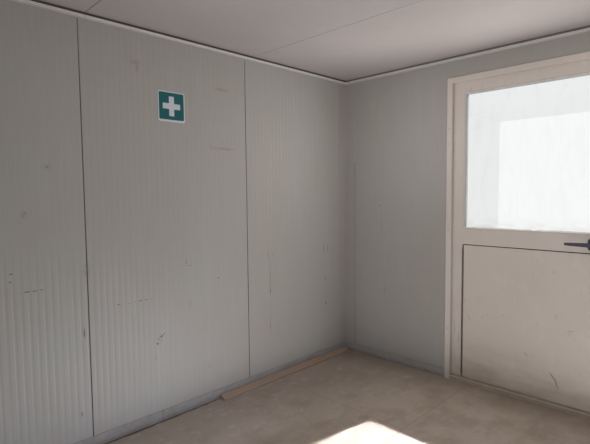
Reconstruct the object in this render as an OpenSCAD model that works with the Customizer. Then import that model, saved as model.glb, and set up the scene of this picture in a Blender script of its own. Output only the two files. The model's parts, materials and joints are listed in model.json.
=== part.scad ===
// End section of a panel-built site cabin: door wall, three bays of both side walls, floor and roof.
// The room is seen from its open end. X runs across the room, +Y points out through the door.
// The origin is on the ground, in the middle of the whole section.

/* [Room] */
// Clear width between the inner faces of the side walls
room_w = 3040; // [2700:10:3400]

/* [Walls] */
// Height of the wall above the door frame
over_h = 152; // [100:2:400]
// Cover width of one wall panel
panel_w = 1150; // [1000:10:1200]
// Thickness of the wall panels
wall_t = 75; // [60:5:100]
// Gap between the steel edges of two neighbouring panels
joint_gap = 4; // [2:0.5:6]
// Bevel where a panel's skin folds into the joint
joint_bevel = 2; // [1:0.5:4]
// Depth of the groove in a panel's edge
groove_depth = 16; // [10:1:24]
// Width of the tongue that enters the groove
tongue_w = 25; // [15:1:32]
// Clearance round the tongue
tongue_clear = 1; // [0.5:0.5:2]

/* [Micro-ribs] */
// Number of shallow valleys across one wall panel
valleys = 32; // [16:1:40]
// Width of a valley at the face of the skin
valley_w = 18; // [16:1:24]
// Depth of a valley
valley_d = 0.5; // [0.3:0.1:1.5]
// Width of a valley's sloping side
valley_slope = 4; // [4:0.5:7.5]

/* [Floor and base] */
// Height of the base rails, which is the floor level
base_h = 140; // [120:5:200]
// Steel thickness of the base rails and corner posts
frame_t = 4; // [3:0.5:6]
// How far the base rails stand out from the walls
base_out = 10; // [9:0.5:15]
// Outer radius of the bends in the base and eaves rails
bend_r = 5; // [4:0.5:8]
// Height of the lip on the base rail's bottom flange
lip_h = 16; // [8:1:30]
// Width of the base rail's bottom flange
foot_w = 70; // [50:5:100]
// Thickness of the floor boards
board_t = 20; // [16:1:28]
// Gap between two floor sheets
board_gap = 3; // [1:0.5:6]
// Width of a floor sheet across the room
sheet_w = 1220; // [900:10:1300]
// Length of a floor sheet along the room
sheet_l = 2440; // [1800:10:2600]
// First joint along the room, from the left wall
sheet_first_x = 1160; // [600:5:1220]
// First joint across the room, from the door wall
sheet_first_y = 905; // [600:5:1200]
// Height of a floor joist
joist_h = 100; // [80:5:110]
// Flange width of a floor joist
joist_w = 50; // [40:5:70]
// Steel thickness of a floor joist
joist_t = 3; // [2:0.5:5]
// Lip of a floor joist
joist_lip = 14; // [8:1:20]
// Number of floor joists
joists = 10; // [8:1:14]

/* [Trims] */
// Height of the floor track's upstand
track_h = 67; // [40:1:90]
// Steel thickness of the floor track
track_t = 2; // [1.5:0.5:3]
// Leg of the angle in the inner corner
angle_leg = 100; // [60:5:120]
// Thickness of the inner corner angle
angle_t = 1.5; // [1:0.5:3]
// Outer radius of the inner corner angle's bend
angle_r = 4; // [2:0.5:8]
// Height of the ceiling trim
trim_h = 15; // [10:1:40]
// How far the ceiling trim stands out from the wall
trim_out = 18; // [10:1:30]
// Bevel along the ceiling trim's two outer edges
trim_bevel = 4; // [1:0.5:5]
// Shadow gap between the ceiling trim and the ceiling
trim_gap = 21; // [8:1:30]
// Leg of the steel corner post
post_leg = 120; // [80:5:160]
// Length of the loose batten beside the left wall
batten_l = 1400; // [600:50:2000]
// Width of the batten
batten_w = 52; // [30:1:70]
// Thickness of the batten at the wall
batten_t = 30; // [20:1:45]
// Width of the two square edges beside the batten's slope
batten_edge = 8; // [4:1:15]
// Distance of the batten from the floor track
batten_off = 6; // [0:1:15]

/* [Roof] */
// Thickness of the roof panels without their ribs
roof_t = 75; // [60:5:100]
// Number of roof ribs on one panel
ribs = 4; // [3:1:6]
// Height of a roof rib
rib_h = 36; // [20:1:50]
// Width of a roof rib at its foot
rib_foot = 64; // [40:1:90]
// Width of a roof rib at its crown
rib_crown = 24; // [12:1:34]
// Overhang of the roof beyond the walls
eaves = 45; // [20:5:80]
// Steel thickness of the eaves rails
fascia_t = 3; // [2:0.5:5]
// How far the eaves rails hang below the roof panels
fascia_drop = 30; // [15:5:60]
// Width of the eaves rail's top flange
fascia_top = 40; // [25:5:70]
// Room above the ribs under the top flange
fascia_clear = 2; // [1:1:8]

/* [Door frame] */
// Width of the door frame over its outer edges
frame_w = 1100; // [900:10:1200]
// Height of the door frame above the floor
frame_h = 2280; // [2100:10:2310]
// Face width of the frame on the room side
frame_face = 40; // [34:1:60]
// Depth of the rebate that the leaf closes into
rebate_w = 13; // [8:1:20]
// How far the frame stands out from both wall faces
frame_proud = 4; // [2:1:10]
// Depth of the frame's stop on the room side
stop_d = 24; // [16:1:30]
// Radius of the frame's edges
frame_r = 3; // [1:0.5:6]
// Height of the threshold
sill_h = 30; // [20:1:45]
// Fall of the threshold towards the outside
sill_fall = 8; // [2:1:15]
// Width of the seal on the frame's stop
seal_w = 7; // [4:0.5:9]
// Air between the seal and the leaf
seal_gap = 0.4; // [0.3:0.1:1]

/* [Door leaf] */
// Gap between the leaf and the frame on the hinge side, and to the stop
hinge_gap = 5; // [5:0.5:8]
// Gap between the leaf and the frame on the lock side
lock_gap = 8; // [8:0.5:12]
// Gap above and below the leaf
end_gap = 6; // [5:0.5:9]
// Width of the hinge stile
stile_w = 92; // [80:1:120]
// Width of the lock stile
lock_stile_w = 92; // [80:1:120]
// Height of the top rail
top_rail_h = 85; // [70:1:120]
// Height of the middle rail
mid_rail_h = 117; // [100:1:150]
// Underside of the middle rail above the floor
mid_rail_z = 1048; // [900:1:1150]
// Height of the bottom rail, behind the infill
bottom_rail_h = 100; // [70:1:140]
// Thickness of the lower infill
infill_t = 24; // [16:1:30]
// Width of the groove round the lower infill
infill_gap = 6.5; // [2:0.5:8]
// Depth of the groove round the lower infill
infill_groove = 13; // [6:0.5:14]
// Thickness of the sealed glass unit
glass_t = 24; // [18:1:28]
// Gap between the glass and the rails
glass_gap = 0.5; // [0.3:0.1:3]
// Width of a glazing bead
bead_w = 10; // [6:1:20]
// Flat edge of a glazing bead against the glass
bead_lip = 5; // [2:0.5:8]
// Bevel along the outer edges of the leaf
leaf_bevel = 2; // [1:0.5:4]
// Height of the faceplate in the leaf's lock edge
faceplate_h = 240; // [160:5:300]
// Height of the strike plate in the jamb
strike_h = 180; // [120:5:240]
// Width of both lock plates
lockplate_w = 22; // [16:1:26]
// Thickness of both lock plates
lockplate_t = 2.5; // [1.5:0.5:4]

/* [Hinges and handle] */
// Diameter of a hinge knuckle
knuckle_d = 20; // [16:1:26]
// Diameter of a hinge pin
pin_d = 10; // [8:1:12]
// Height of one hinge
hinge_h = 100; // [70:5:130]
// Distance from the leaf's ends to the outer hinges
hinge_end = 90; // [50:5:300]
// Gap between the two knuckles of a hinge
knuckle_gap = 0.3; // [0.2:0.1:1]
// Thickness of a hinge plate
plate_t = 4; // [3:0.5:6]
// Distance from the leaf's hinge edge to the far end of its hinge plate
plate_reach = 46; // [35:1:70]
// Running clearance round a pin or neck
run_clear = 0.08; // [0.04:0.01:0.1]
// Height of the handle's axis above the middle rail's underside
handle_up = 54; // [45:1:60]
// Distance from the lock edge of the leaf to the handle's axis
backset = 121; // [110:1:150]
// Width of the handle rose
rose_w = 34; // [28:1:44]
// Height of the handle rose
rose_h = 74; // [60:1:110]
// Thickness of the handle rose
rose_t = 8; // [5:1:12]
// Diameter of the handle's neck
neck_d = 18; // [14:1:22]
// Length of the lever from its axis to its tip
lever_l = 138; // [100:1:160]
// How far the lever's back stands off the leaf
lever_stand = 42; // [32:1:55]
// Thickness of the lever's grip
lever_t = 14; // [10:1:20]
// Height of the lever at its root
lever_root = 28; // [20:1:34]
// Height of the lever at its tip
lever_tip = 18; // [12:1:26]
// Bevel round the lever's grip
lever_bevel = 3; // [1:0.5:4]
// Bevel round the face of the rose
rose_bevel = 2; // [1:0.5:4]
// Diameter of the lock cylinder
cylinder_d = 17; // [14:1:22]
// Distance of the lock cylinder below the handle's axis
cylinder_drop = 72; // [60:1:92]
// Distance from the lock edge of the leaf to the lock cylinder
cylinder_back = 45; // [30:1:60]
// How far the lock cylinder stands out of the leaf
cylinder_out = 3; // [1:0.5:6]

/* [First-aid sign] */
// Side of the square sign plate
sign_w = 190; // [100:5:250]
// Thickness of the sign plate
sign_t = 2; // [1:0.5:5]
// Corner radius of the sign plate
sign_r = 14; // [5:1:30]
// Distance from the door wall to the sign's middle
sign_y = 1746; // [1300:1:2200]
// Distance from the ceiling down to the sign's middle
sign_drop = 442; // [250:1:900]

/* [Hidden] */
bays = 3;
big = 600;

room_h = frame_h + over_h;
room_l = bays * panel_w;
valley_pitch = panel_w / valleys;
floor_z = base_h;
ceiling_z = floor_z + room_h;
wall_out = wall_t + base_out;
roof_out = wall_t + eaves;
roof_panel_w = (room_l + roof_out) / bays;

frame_l = -frame_w / 2;
frame_out = wall_t + frame_proud;
stop_y = stop_d - frame_proud;
leaf_in = stop_y + hinge_gap;
leaf_t = frame_out - leaf_in;
jamb_w = frame_face - rebate_w;
leaf_l = frame_l + jamb_w + hinge_gap;
leaf_r = -frame_l - jamb_w - lock_gap;
leaf_bottom = floor_z + sill_h + end_gap;
leaf_top = floor_z + frame_h - jamb_w - end_gap;
infill_l = leaf_l + stile_w;
infill_r = leaf_r - lock_stile_w;
mid_z = floor_z + mid_rail_z;
glass_z0 = mid_z + mid_rail_h;
glass_z1 = leaf_top - top_rail_h;
glass_in = leaf_in + (leaf_t - glass_t) / 2;

hinge_x = leaf_l - hinge_gap / 2;
hinge_y = frame_out + knuckle_d / 2 + plate_t;
hinge_zs = [leaf_bottom + hinge_end, (leaf_bottom + leaf_top - hinge_h) / 2,
            leaf_top - hinge_end - hinge_h];
handle_x = leaf_r - backset;
axis_z = mid_z + handle_up;
cylinder_x = leaf_r - cylinder_back;
cylinder_z = axis_z - cylinder_drop;
lever_reach = lever_stand + lever_t;

// The outermost point at the door end is the outside lever or the eaves rail
y_far = max(frame_out + lever_reach, roof_out + fascia_t);
y_mid = (y_far - room_l) / 2;

skin_col = [0.62, 0.60, 0.58];
trim_col = [0.72, 0.71, 0.69];
steel_col = [0.45, 0.48, 0.50];
pvc_col = [0.78, 0.74, 0.68];

// Places a side-wall outline: 2D x is the distance out from the inner face, 2D y is the height
module left_side(y0, y1) {
    translate([-room_w / 2, y1, 0]) rotate([90, 0, 0]) linear_extrude(y1 - y0) mirror([1, 0])
        children();
}

// The same for the door wall, from x0 to x1
module door_side(x0, x1) {
    translate([x0, 0, 0]) rotate([90, 0, 90]) linear_extrude(x1 - x0) children();
}

// A side run mitred at the door corner
module left_mitred() {
    intersection() {
        left_side(-room_l, big) children();
        linear_extrude(ceiling_z + big)
            polygon([[-room_w / 2 - big, big], [-room_w / 2 - big, -room_l - 1],
                     [-room_w / 2 + big, -room_l - 1], [-room_w / 2 + big, -big]]);
    }
}

// A run along the door wall, mitred at both corners
module door_mitred() {
    intersection() {
        door_side(-room_w / 2 - big, room_w / 2 + big) children();
        linear_extrude(ceiling_z + big)
            polygon([[-room_w / 2 - big, big], [-room_w / 2 + big, -big],
                     [room_w / 2 - big, -big], [room_w / 2 + big, big]]);
    }
}

module centred() translate([0, -y_mid, 0]) children();

// Quarter ring of a folded sheet, in the quadrant where both axes are positive
module bend(r, t) {
    intersection() {
        difference() {
            circle(r = r, $fn = 48);
            circle(r = r - t, $fn = 48);
        }
        square(r);
    }
}

// Rectangle with round corners, its low corner on the origin
module round_rect(w, h, r) {
    translate([r, 0]) square([w - 2 * r, h]);
    translate([0, r]) square([w, h - 2 * r]);
    for (x = [r, w - r], y = [r, h - r]) translate([x, y]) circle(r = r, $fn = 32);
}

// Base rail: a folded channel with its web outside and its top flange under the wall
module base_rail_outline() {
    translate([0, base_h - frame_t]) square([wall_out - bend_r, frame_t]);
    translate([wall_out - bend_r, base_h - bend_r]) bend(bend_r, frame_t);
    translate([wall_out - frame_t, bend_r]) square([frame_t, base_h - 2 * bend_r]);
    translate([wall_out - bend_r, bend_r]) rotate(-90) bend(bend_r, frame_t);
    translate([wall_out - foot_w, 0]) square([foot_w - bend_r, frame_t]);
    translate([wall_out - foot_w, 0]) square([frame_t, lip_h]);
}

module base_rail_left() color(steel_col) centred() left_mitred() base_rail_outline();
module base_rail_right() mirror([1, 0, 0]) base_rail_left();
module base_rail_door() color(steel_col) centred() door_mitred() base_rail_outline();

// Cross joists: lipped channels between the webs of the side rails
module joist_outline() {
    square([joist_t, joist_h]);
    for (z = [0, joist_h - joist_t]) translate([0, z]) square([joist_w, joist_t]);
    for (z = [0, joist_h - joist_lip]) translate([joist_w - joist_t, z]) square([joist_t, joist_lip]);
}
module floor_joists() {
    span = room_w + 2 * (wall_out - frame_t);
    step = (room_l - joist_w) / (joists - 1);
    color(steel_col) centred() for (k = [0 : joists - 1])
        translate([-span / 2, -joist_w - k * step, floor_z - board_t - joist_h])
            rotate([90, 0, 90]) linear_extrude(span) joist_outline();
}

// Ends of the floor sheets: joint i of a run that starts with a cut sheet
function sheet_edge(i, first, size, end) = i < 0 ? 0 : min(first + i * size, end);

// Sheets in columns along the room, the cross joints staggered by half a sheet
module floor_boards() {
    g = board_gap / 2;
    cols = ceil((room_w - sheet_first_x) / sheet_w);
    color([0.55, 0.50, 0.44]) centred() for (c = [0 : cols]) {
        x0 = sheet_edge(c - 1, sheet_first_x, sheet_w, room_w);
        x1 = sheet_edge(c, sheet_first_x, sheet_w, room_w);
        first = sheet_first_y + (c % 2) * sheet_l / 2;
        rows = ceil((room_l - first) / sheet_l);
        for (r = [0 : rows]) {
            y0 = sheet_edge(r - 1, first, sheet_l, room_l);
            y1 = sheet_edge(r, first, sheet_l, room_l);
            translate([x0 - room_w / 2 + (c > 0 ? g : 0), -y1 + (r < rows ? g : 0), floor_z - board_t])
                cube([x1 - x0 - (c > 0 ? g : 0) - (c < cols ? g : 0),
                      y1 - y0 - (r > 0 ? g : 0) - (r < rows ? g : 0), board_t]);
        }
    }
}

// Loose softwood fillet along the left wall, with one face sloping down to the floor
module floor_batten() {
    color([0.70, 0.45, 0.28]) centred()
        translate([-room_w / 2 + track_t + batten_off, -angle_leg / 4, floor_z])
            rotate([90, 0, 0]) linear_extrude(batten_l)
                polygon([[0, 0], [0, batten_t], [batten_edge, batten_t],
                         [batten_w, batten_edge], [batten_w, 0]]);
}

// One shallow valley across a skin at x, centred on c, cut d into the panel
function valley(x, d, c) = [
    [x, c - valley_w / 2], [x + d, c - valley_w / 2 + valley_slope],
    [x + d, c + valley_w / 2 - valley_slope], [x, c + valley_w / 2]];

// Plan outline of a wall panel from 0 to len, with valleys in both skins.
// The joint edges are cut back by half the joint gap; groove at the start, tongue at the end.
module panel_outline(len, groove, tongue) {
    s = groove ? joint_gap / 2 : 0;
    e = len - (tongue ? joint_gap / 2 : 0);
    b = joint_bevel;
    slot = tongue_w + 2 * tongue_clear;
    t0 = (wall_t - tongue_w) / 2;
    tip = len + groove_depth - tongue_clear;
    tenon = tongue ? [[t0, e], [t0, tip], [wall_t - t0, tip], [wall_t - t0, e]] : [];
    n = round(len / valley_pitch);
    step = len / n;
    up = [for (k = [0 : n - 1]) each valley(0, valley_d, (k + 0.5) * step)];
    down = [for (k = [n - 1 : -1 : 0], i = [3 : -1 : 0])
            valley(wall_t, -valley_d, (k + 0.5) * step)[i]];
    difference() {
        polygon(concat([[b, s], [0, s + b]], up, [[0, e - b], [b, e]], tenon,
                       [[wall_t - b, e], [wall_t, e - b]], down, [[wall_t, s + b], [wall_t - b, s]]));
        if (groove) translate([(wall_t - slot) / 2, -1]) square([slot, groove_depth + 1]);
    }
}

// Panel k of a side wall, counted from the door; the first one's tongue is trimmed off
module left_panel(k) {
    color(skin_col) centred()
        translate([-room_w / 2 - wall_t, -k * panel_w, floor_z + track_t])
            linear_extrude(room_h - track_t) panel_outline(panel_w, true, k > 1);
}

module left_panel_1() left_panel(1);
module left_panel_2() left_panel(2);
module left_panel_3() left_panel(3);
module right_panel_1() mirror([1, 0, 0]) left_panel(1);
module right_panel_2() mirror([1, 0, 0]) left_panel(2);
module right_panel_3() mirror([1, 0, 0]) left_panel(3);

// Door wall panel from x0 to x1 above z0; its ends are plain cuts
module door_panel(x0, x1, z0) {
    color(skin_col) centred() translate([x0, 0, z0]) linear_extrude(ceiling_z - z0)
        mirror([1, -1, 0]) panel_outline(x1 - x0, false, false);
}
module door_panel_left() door_panel(-room_w / 2 - wall_t, frame_l, floor_z + track_t);
module door_panel_right() mirror([1, 0, 0]) door_panel_left();
module door_panel_over() door_panel(frame_l, -frame_l, floor_z + frame_h);

// Floor track: an angle under the wall with its upstand in the room
module track_outline() {
    translate([0, floor_z]) square([wall_t, track_t]);
    translate([-track_t, floor_z]) square([track_t, track_h]);
}
module floor_track_left() color(steel_col) centred() left_mitred() track_outline();
module floor_track_right() mirror([1, 0, 0]) floor_track_left();
module floor_track_door() {
    color(steel_col) centred() difference() {
        door_mitred() track_outline();
        translate([frame_l, -big / 2, 0]) cube([frame_w, big, ceiling_z]);
    }
}

// Folded angle, its outer corner on the origin, its legs along both axes
module angle_outline(leg, t, r) {
    translate([r, 0]) square([leg - r, t]);
    translate([0, r]) square([t, leg - r]);
    translate([r, r]) rotate(180) bend(r, t);
}

// Angles in the two inner corners of the door wall
module corner_angles() {
    z0 = floor_z + track_h;
    color(trim_col) centred() for (side = [0, 1]) mirror([side, 0, 0])
        translate([-room_w / 2, 0, z0]) linear_extrude(ceiling_z - trim_gap - trim_h - z0)
            mirror([0, 1]) angle_outline(angle_leg, angle_t, angle_r);
}

// Ceiling trim: a slim bevelled bar with a shadow gap above it
module trim_outline() {
    z1 = ceiling_z - trim_gap;
    z0 = z1 - trim_h;
    b = trim_bevel;
    polygon([[0, z0], [b - trim_out, z0], [-trim_out, z0 + b], [-trim_out, z1 - b],
             [b - trim_out, z1], [0, z1]]);
}
module ceiling_trim_left() color(trim_col) centred() left_mitred() trim_outline();
module ceiling_trim_right() mirror([1, 0, 0]) ceiling_trim_left();
module ceiling_trim_door() color(trim_col) centred() door_mitred() trim_outline();

// Steel angle over the outer corner, from the base rail to the roof
module corner_post_left() {
    color(steel_col) centred()
        translate([-room_w / 2 - wall_t - frame_t, wall_t + frame_t, floor_z]) linear_extrude(room_h)
            mirror([0, 1]) angle_outline(post_leg, frame_t, frame_t + joint_bevel);
}
module corner_post_right() mirror([1, 0, 0]) corner_post_left();

// One trapezoidal rib, centred on c
function rib(c) = [
    [c - rib_foot / 2, roof_t], [c - rib_crown / 2, roof_t + rib_h],
    [c + rib_crown / 2, roof_t + rib_h], [c + rib_foot / 2, roof_t]];

// Section of a roof panel along Y. Its ribs stand on a flat core, and the last one, which
// laps over the neighbour's edge, is left off the panel that ends at the eaves.
module roof_outline(len, lap) {
    a = joint_gap / 2;
    b = joint_bevel;
    step = len / ribs;
    e = len - (lap ? a : 0);
    tops = [for (k = [1 : ribs - (lap ? 0 : 1)]) each rib(k * step)];
    polygon(concat([[a + b, 0], [a, b], [a, roof_t]], tops, [[e, roof_t], [e, b], [e - b, 0]]));
}

// Roof panel k, counted from the door; it spans the room and forms the ceiling
module roof_panel(k) {
    span = room_w + 2 * roof_out;
    color(trim_col) centred() translate([-span / 2, roof_out - k * roof_panel_w, ceiling_z])
        rotate([90, 0, 90]) linear_extrude(span) roof_outline(roof_panel_w, k > 1);
}
module roof_panel_1() roof_panel(1);
module roof_panel_2() roof_panel(2);
module roof_panel_3() roof_panel(3);

// Eaves rail: a folded channel that closes the roof panels' ends
module eaves_outline() {
    z0 = ceiling_z - fascia_drop;
    z1 = ceiling_z + roof_t + rib_h + fascia_clear + fascia_t;
    face = roof_out + fascia_t;
    translate([wall_out, z0]) square([face - bend_r - wall_out, fascia_t]);
    translate([face - bend_r, z0 + bend_r]) rotate(-90) bend(bend_r, fascia_t);
    translate([roof_out, z0 + bend_r]) square([fascia_t, z1 - z0 - 2 * bend_r]);
    translate([face - bend_r, z1 - bend_r]) bend(bend_r, fascia_t);
    translate([face - fascia_top, z1 - fascia_t]) square([fascia_top - bend_r, fascia_t]);
}
module eaves_rail_left() color(steel_col) centred() left_mitred() eaves_outline();
module eaves_rail_right() mirror([1, 0, 0]) eaves_rail_left();
module eaves_rail_door() color(steel_col) centred() door_mitred() eaves_outline();

// Plan of the door frame: 2D x is the distance in from its outer edge, 2D y is the depth
module frame_outline() {
    translate([0, -frame_proud]) round_rect(frame_face, stop_d, frame_r);
    round_rect(jamb_w, frame_out, frame_r);
    square([jamb_w, stop_y]);
}

// Wedge of the door plane on the left of the head's mitre
module jamb_wedge() {
    top = floor_z + frame_h;
    translate([0, big / 2, 0]) rotate([90, 0, 0]) linear_extrude(big)
        polygon([[frame_l - 1, floor_z - 1], [frame_l - 1, top + 1], [frame_l, top],
                 [frame_l + big / 2, top - big / 2], [frame_l + big / 2, floor_z - 1]]);
}
module jamb() {
    intersection() {
        translate([frame_l, 0, floor_z]) linear_extrude(frame_h) frame_outline();
        jamb_wedge();
    }
}
module frame_jamb_hinge() color(pvc_col) centred() jamb();
module frame_jamb_lock() {
    color(pvc_col) centred() difference() {
        mirror([1, 0, 0]) jamb();
        strike_block();
    }
}
module frame_head() {
    color(pvc_col) centred() difference() {
        translate([frame_l, 0, floor_z + frame_h]) rotate([0, 90, 0]) linear_extrude(frame_w)
            frame_outline();
        jamb_wedge();
        mirror([1, 0, 0]) jamb_wedge();
    }
}

// Lock plates: the strike's place in the jamb, and the faceplate's in the leaf's edge
module plate_block(x, h) {
    translate([x, leaf_in + (leaf_t - lockplate_w) / 2, (axis_z + cylinder_z - h) / 2])
        cube([lockplate_t, lockplate_w, h]);
}
module strike_block() plate_block(-frame_l - jamb_w, strike_h);
module faceplate_block() plate_block(leaf_r - lockplate_t, faceplate_h);

// Strike plate with its two bolt holes
module strike_plate() {
    hole = lockplate_w * 0.6;
    color([0.6, 0.6, 0.6]) centred() difference() {
        strike_block();
        for (z = [axis_z, cylinder_z])
            translate([-frame_l - jamb_w - 1, leaf_in + (leaf_t - hole) / 2, z - hole])
                cube([lockplate_t + 2, hole, 2 * hole]);
    }
}
module lock_faceplate() color([0.6, 0.6, 0.6]) centred() faceplate_block();

// Seal on the frame's stop: a foot and a bevelled lip that the leaf closes against
module seal_outline() {
    mid = (jamb_w + frame_face) / 2;
    foot = seal_w / 2;
    lip = seal_w / 4;
    top = stop_y + hinge_gap - seal_gap;
    polygon([[mid - foot, stop_y], [mid - foot, top - foot + lip], [mid - lip, top], [mid + lip, top],
             [mid + foot, top - foot + lip], [mid + foot, stop_y]]);
}
module seal_jamb() {
    intersection() {
        translate([frame_l, 0, floor_z + sill_h]) linear_extrude(frame_h - sill_h) seal_outline();
        jamb_wedge();
    }
}
module door_seal() {
    color([0.1, 0.1, 0.1]) centred() {
        seal_jamb();
        mirror([1, 0, 0]) seal_jamb();
        difference() {
            translate([frame_l, 0, floor_z + frame_h]) rotate([0, 90, 0]) linear_extrude(frame_w)
                seal_outline();
            jamb_wedge();
            mirror([1, 0, 0]) jamb_wedge();
        }
    }
}

// Threshold between the jambs, falling to the outside
module door_sill() {
    inner = frame_w - 2 * frame_face;
    outer = frame_w - 2 * jamb_w;
    color([0.60, 0.60, 0.60]) centred() intersection() {
        translate([-outer / 2, 0, floor_z]) rotate([90, 0, 90]) linear_extrude(outer)
            polygon([[-frame_proud, 0], [-frame_proud, sill_h - frame_r], [frame_r - frame_proud, sill_h],
                     [stop_y + hinge_gap, sill_h], [frame_out, sill_h - sill_fall], [frame_out, 0]]);
        union() {
            translate([-inner / 2, -frame_proud, floor_z]) cube([inner, stop_d, sill_h]);
            translate([-outer / 2, stop_y, floor_z]) cube([outer, frame_out - stop_y, sill_h]);
        }
    }
}

// Frame half of a hinge: plate, lower knuckle and the pin
module hinge_frame_halves() {
    color(pvc_col) centred() for (z = hinge_zs) translate([0, 0, z]) {
        translate([frame_l + 2, frame_out, 0])
            cube([hinge_x - frame_l - 2, plate_t, hinge_h / 2 - knuckle_gap]);
        translate([hinge_x, hinge_y, 0]) {
            cylinder(d = knuckle_d, h = hinge_h / 2 - knuckle_gap, $fn = 48);
            cylinder(d = pin_d, h = hinge_h - 6, $fn = 48);
        }
        translate([hinge_x - knuckle_d / 2, frame_out, 0])
            cube([knuckle_d / 2, plate_t + knuckle_d / 2, hinge_h / 2 - knuckle_gap]);
    }
}

// Leaf half of a hinge: plate and the upper knuckle, bored for the pin
module hinge_leaf_halves() {
    color(pvc_col) centred() for (z = hinge_zs) translate([0, 0, z + hinge_h / 2]) difference() {
        union() {
            translate([leaf_l, frame_out, 0]) cube([plate_reach, plate_t, hinge_h / 2]);
            translate([hinge_x, hinge_y, 0]) cylinder(d = knuckle_d, h = hinge_h / 2, $fn = 48);
            translate([hinge_x, frame_out + 1, 0])
                cube([knuckle_d / 2, plate_t - 1 + knuckle_d / 2, hinge_h / 2]);
        }
        translate([hinge_x, hinge_y, -1])
            cylinder(d = pin_d + 2 * run_clear, h = hinge_h / 2 - 4, $fn = 48);
    }
}

// Front view of the hinge stile: its top is mitred to the top rail
module stile_face(x0, x1) {
    polygon([[x0, leaf_bottom], [x0, leaf_top], [x1, glass_z1], [x1, leaf_bottom]]);
}

// Leaf member of the given front view, between the leaf's two faces
module leaf_slab() {
    translate([0, leaf_in + leaf_t, 0]) rotate([90, 0, 0]) linear_extrude(leaf_t) children();
}

// The leaf's outer block, bevelled along its outer edges
module leaf_block() {
    b = leaf_bevel;
    intersection() {
        translate([0, 0, leaf_bottom]) linear_extrude(leaf_top - leaf_bottom)
            polygon([[leaf_l, leaf_in + b], [leaf_l + b, leaf_in], [leaf_r - b, leaf_in],
                     [leaf_r, leaf_in + b], [leaf_r, leaf_in + leaf_t - b],
                     [leaf_r - b, leaf_in + leaf_t], [leaf_l + b, leaf_in + leaf_t],
                     [leaf_l, leaf_in + leaf_t - b]]);
        translate([leaf_l, leaf_in, leaf_bottom]) rotate([90, 0, 90])
            linear_extrude(leaf_r - leaf_l)
                polygon([[0, b], [b, 0], [leaf_t - b, 0], [leaf_t, b],
                         [leaf_t, leaf_top - leaf_bottom - b], [leaf_t - b, leaf_top - leaf_bottom],
                         [b, leaf_top - leaf_bottom], [0, leaf_top - leaf_bottom - b]]);
    }
}

// Hole of diameter d through the leaf
module leaf_bore(x, z, d) {
    translate([x, leaf_in - 1, z]) rotate([-90, 0, 0]) cylinder(d = d, h = leaf_t + 2, $fn = 48);
}
module leaf_stile_hinge() {
    color(pvc_col) centred() intersection() {
        leaf_block();
        leaf_slab() stile_face(leaf_l, infill_l);
    }
}
module leaf_stile_lock() {
    color(pvc_col) centred() difference() {
        intersection() {
            leaf_block();
            leaf_slab() stile_face(leaf_r, infill_r);
        }
        faceplate_block();
        leaf_bore(cylinder_x, cylinder_z, cylinder_d + 2 * run_clear);
    }
}
module leaf_top_rail() {
    color(pvc_col) centred() intersection() {
        leaf_block();
        leaf_slab() polygon([[leaf_l, leaf_top], [leaf_r, leaf_top],
                             [infill_r, glass_z1], [infill_l, glass_z1]]);
    }
}

// The middle rail carries the handle, beside the lock stile
module leaf_mid_rail() {
    color(pvc_col) centred() difference() {
        translate([infill_l, leaf_in, mid_z]) cube([infill_r - infill_l, leaf_t, mid_rail_h]);
        leaf_bore(handle_x, axis_z, neck_d + 4);
    }
}

// The bottom rail shows outside only; the infill covers it in the room
module leaf_bottom_rail() {
    color(pvc_col) centred() translate([infill_l, leaf_in + infill_t, leaf_bottom])
        cube([infill_r - infill_l, leaf_t - infill_t, bottom_rail_h]);
}

// The infill fills its opening, with a groove round the raised part that shows in the room
module leaf_infill() {
    g = infill_gap;
    color([0.74, 0.70, 0.64]) centred() {
        translate([infill_l + g, leaf_in, leaf_bottom + g / 2])
            cube([infill_r - infill_l - 2 * g, infill_t, mid_z - leaf_bottom - 1.5 * g]);
        translate([infill_l, leaf_in + infill_groove, leaf_bottom])
            cube([infill_r - infill_l, infill_t - infill_groove, mid_z - leaf_bottom]);
    }
}
module leaf_glass() {
    color([0.75, 0.88, 0.90, 0.4]) centred()
        translate([infill_l + glass_gap, glass_in, glass_z0 + glass_gap])
            cube([infill_r - infill_l - 2 * glass_gap, glass_t, glass_z1 - glass_z0 - 2 * glass_gap]);
}

// Bead of the given depth on the left of the glass, seen in plan, flat against the glass
module bead_outline(depth) {
    polygon([[0, 0], [0, depth], [bead_w, depth], [bead_w, depth - bead_lip], [bead_w / 2, 0]]);
}

// Four mitred beads round the glass, with their show faces towards -Y
module bead_ring(depth) {
    w = infill_r - infill_l;
    h = glass_z1 - glass_z0;
    m = bead_w;
    for (side = [0, 1]) translate([side * w, 0, 0]) mirror([side, 0, 0]) intersection() {
        linear_extrude(h) bead_outline(depth);
        translate([0, depth, 0]) rotate([90, 0, 0]) linear_extrude(depth)
            polygon([[0, 0], [m, m], [m, h - m], [0, h]]);
    }
    for (side = [0, 1]) translate([0, 0, side * h]) mirror([0, 0, side]) intersection() {
        rotate([0, -90, 0]) mirror([0, 0, 1]) linear_extrude(w) bead_outline(depth);
        translate([0, depth, 0]) rotate([90, 0, 0]) linear_extrude(depth)
            polygon([[0, 0], [w, 0], [w - m, m], [m, m]]);
    }
}
module glazing_beads() {
    depth = glass_in - leaf_in;
    color([0.85, 0.84, 0.80]) centred() {
        translate([infill_l, leaf_in, glass_z0]) bead_ring(depth);
        translate([infill_l, frame_out, glass_z0]) mirror([0, 1, 0]) bead_ring(depth);
    }
}

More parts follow.
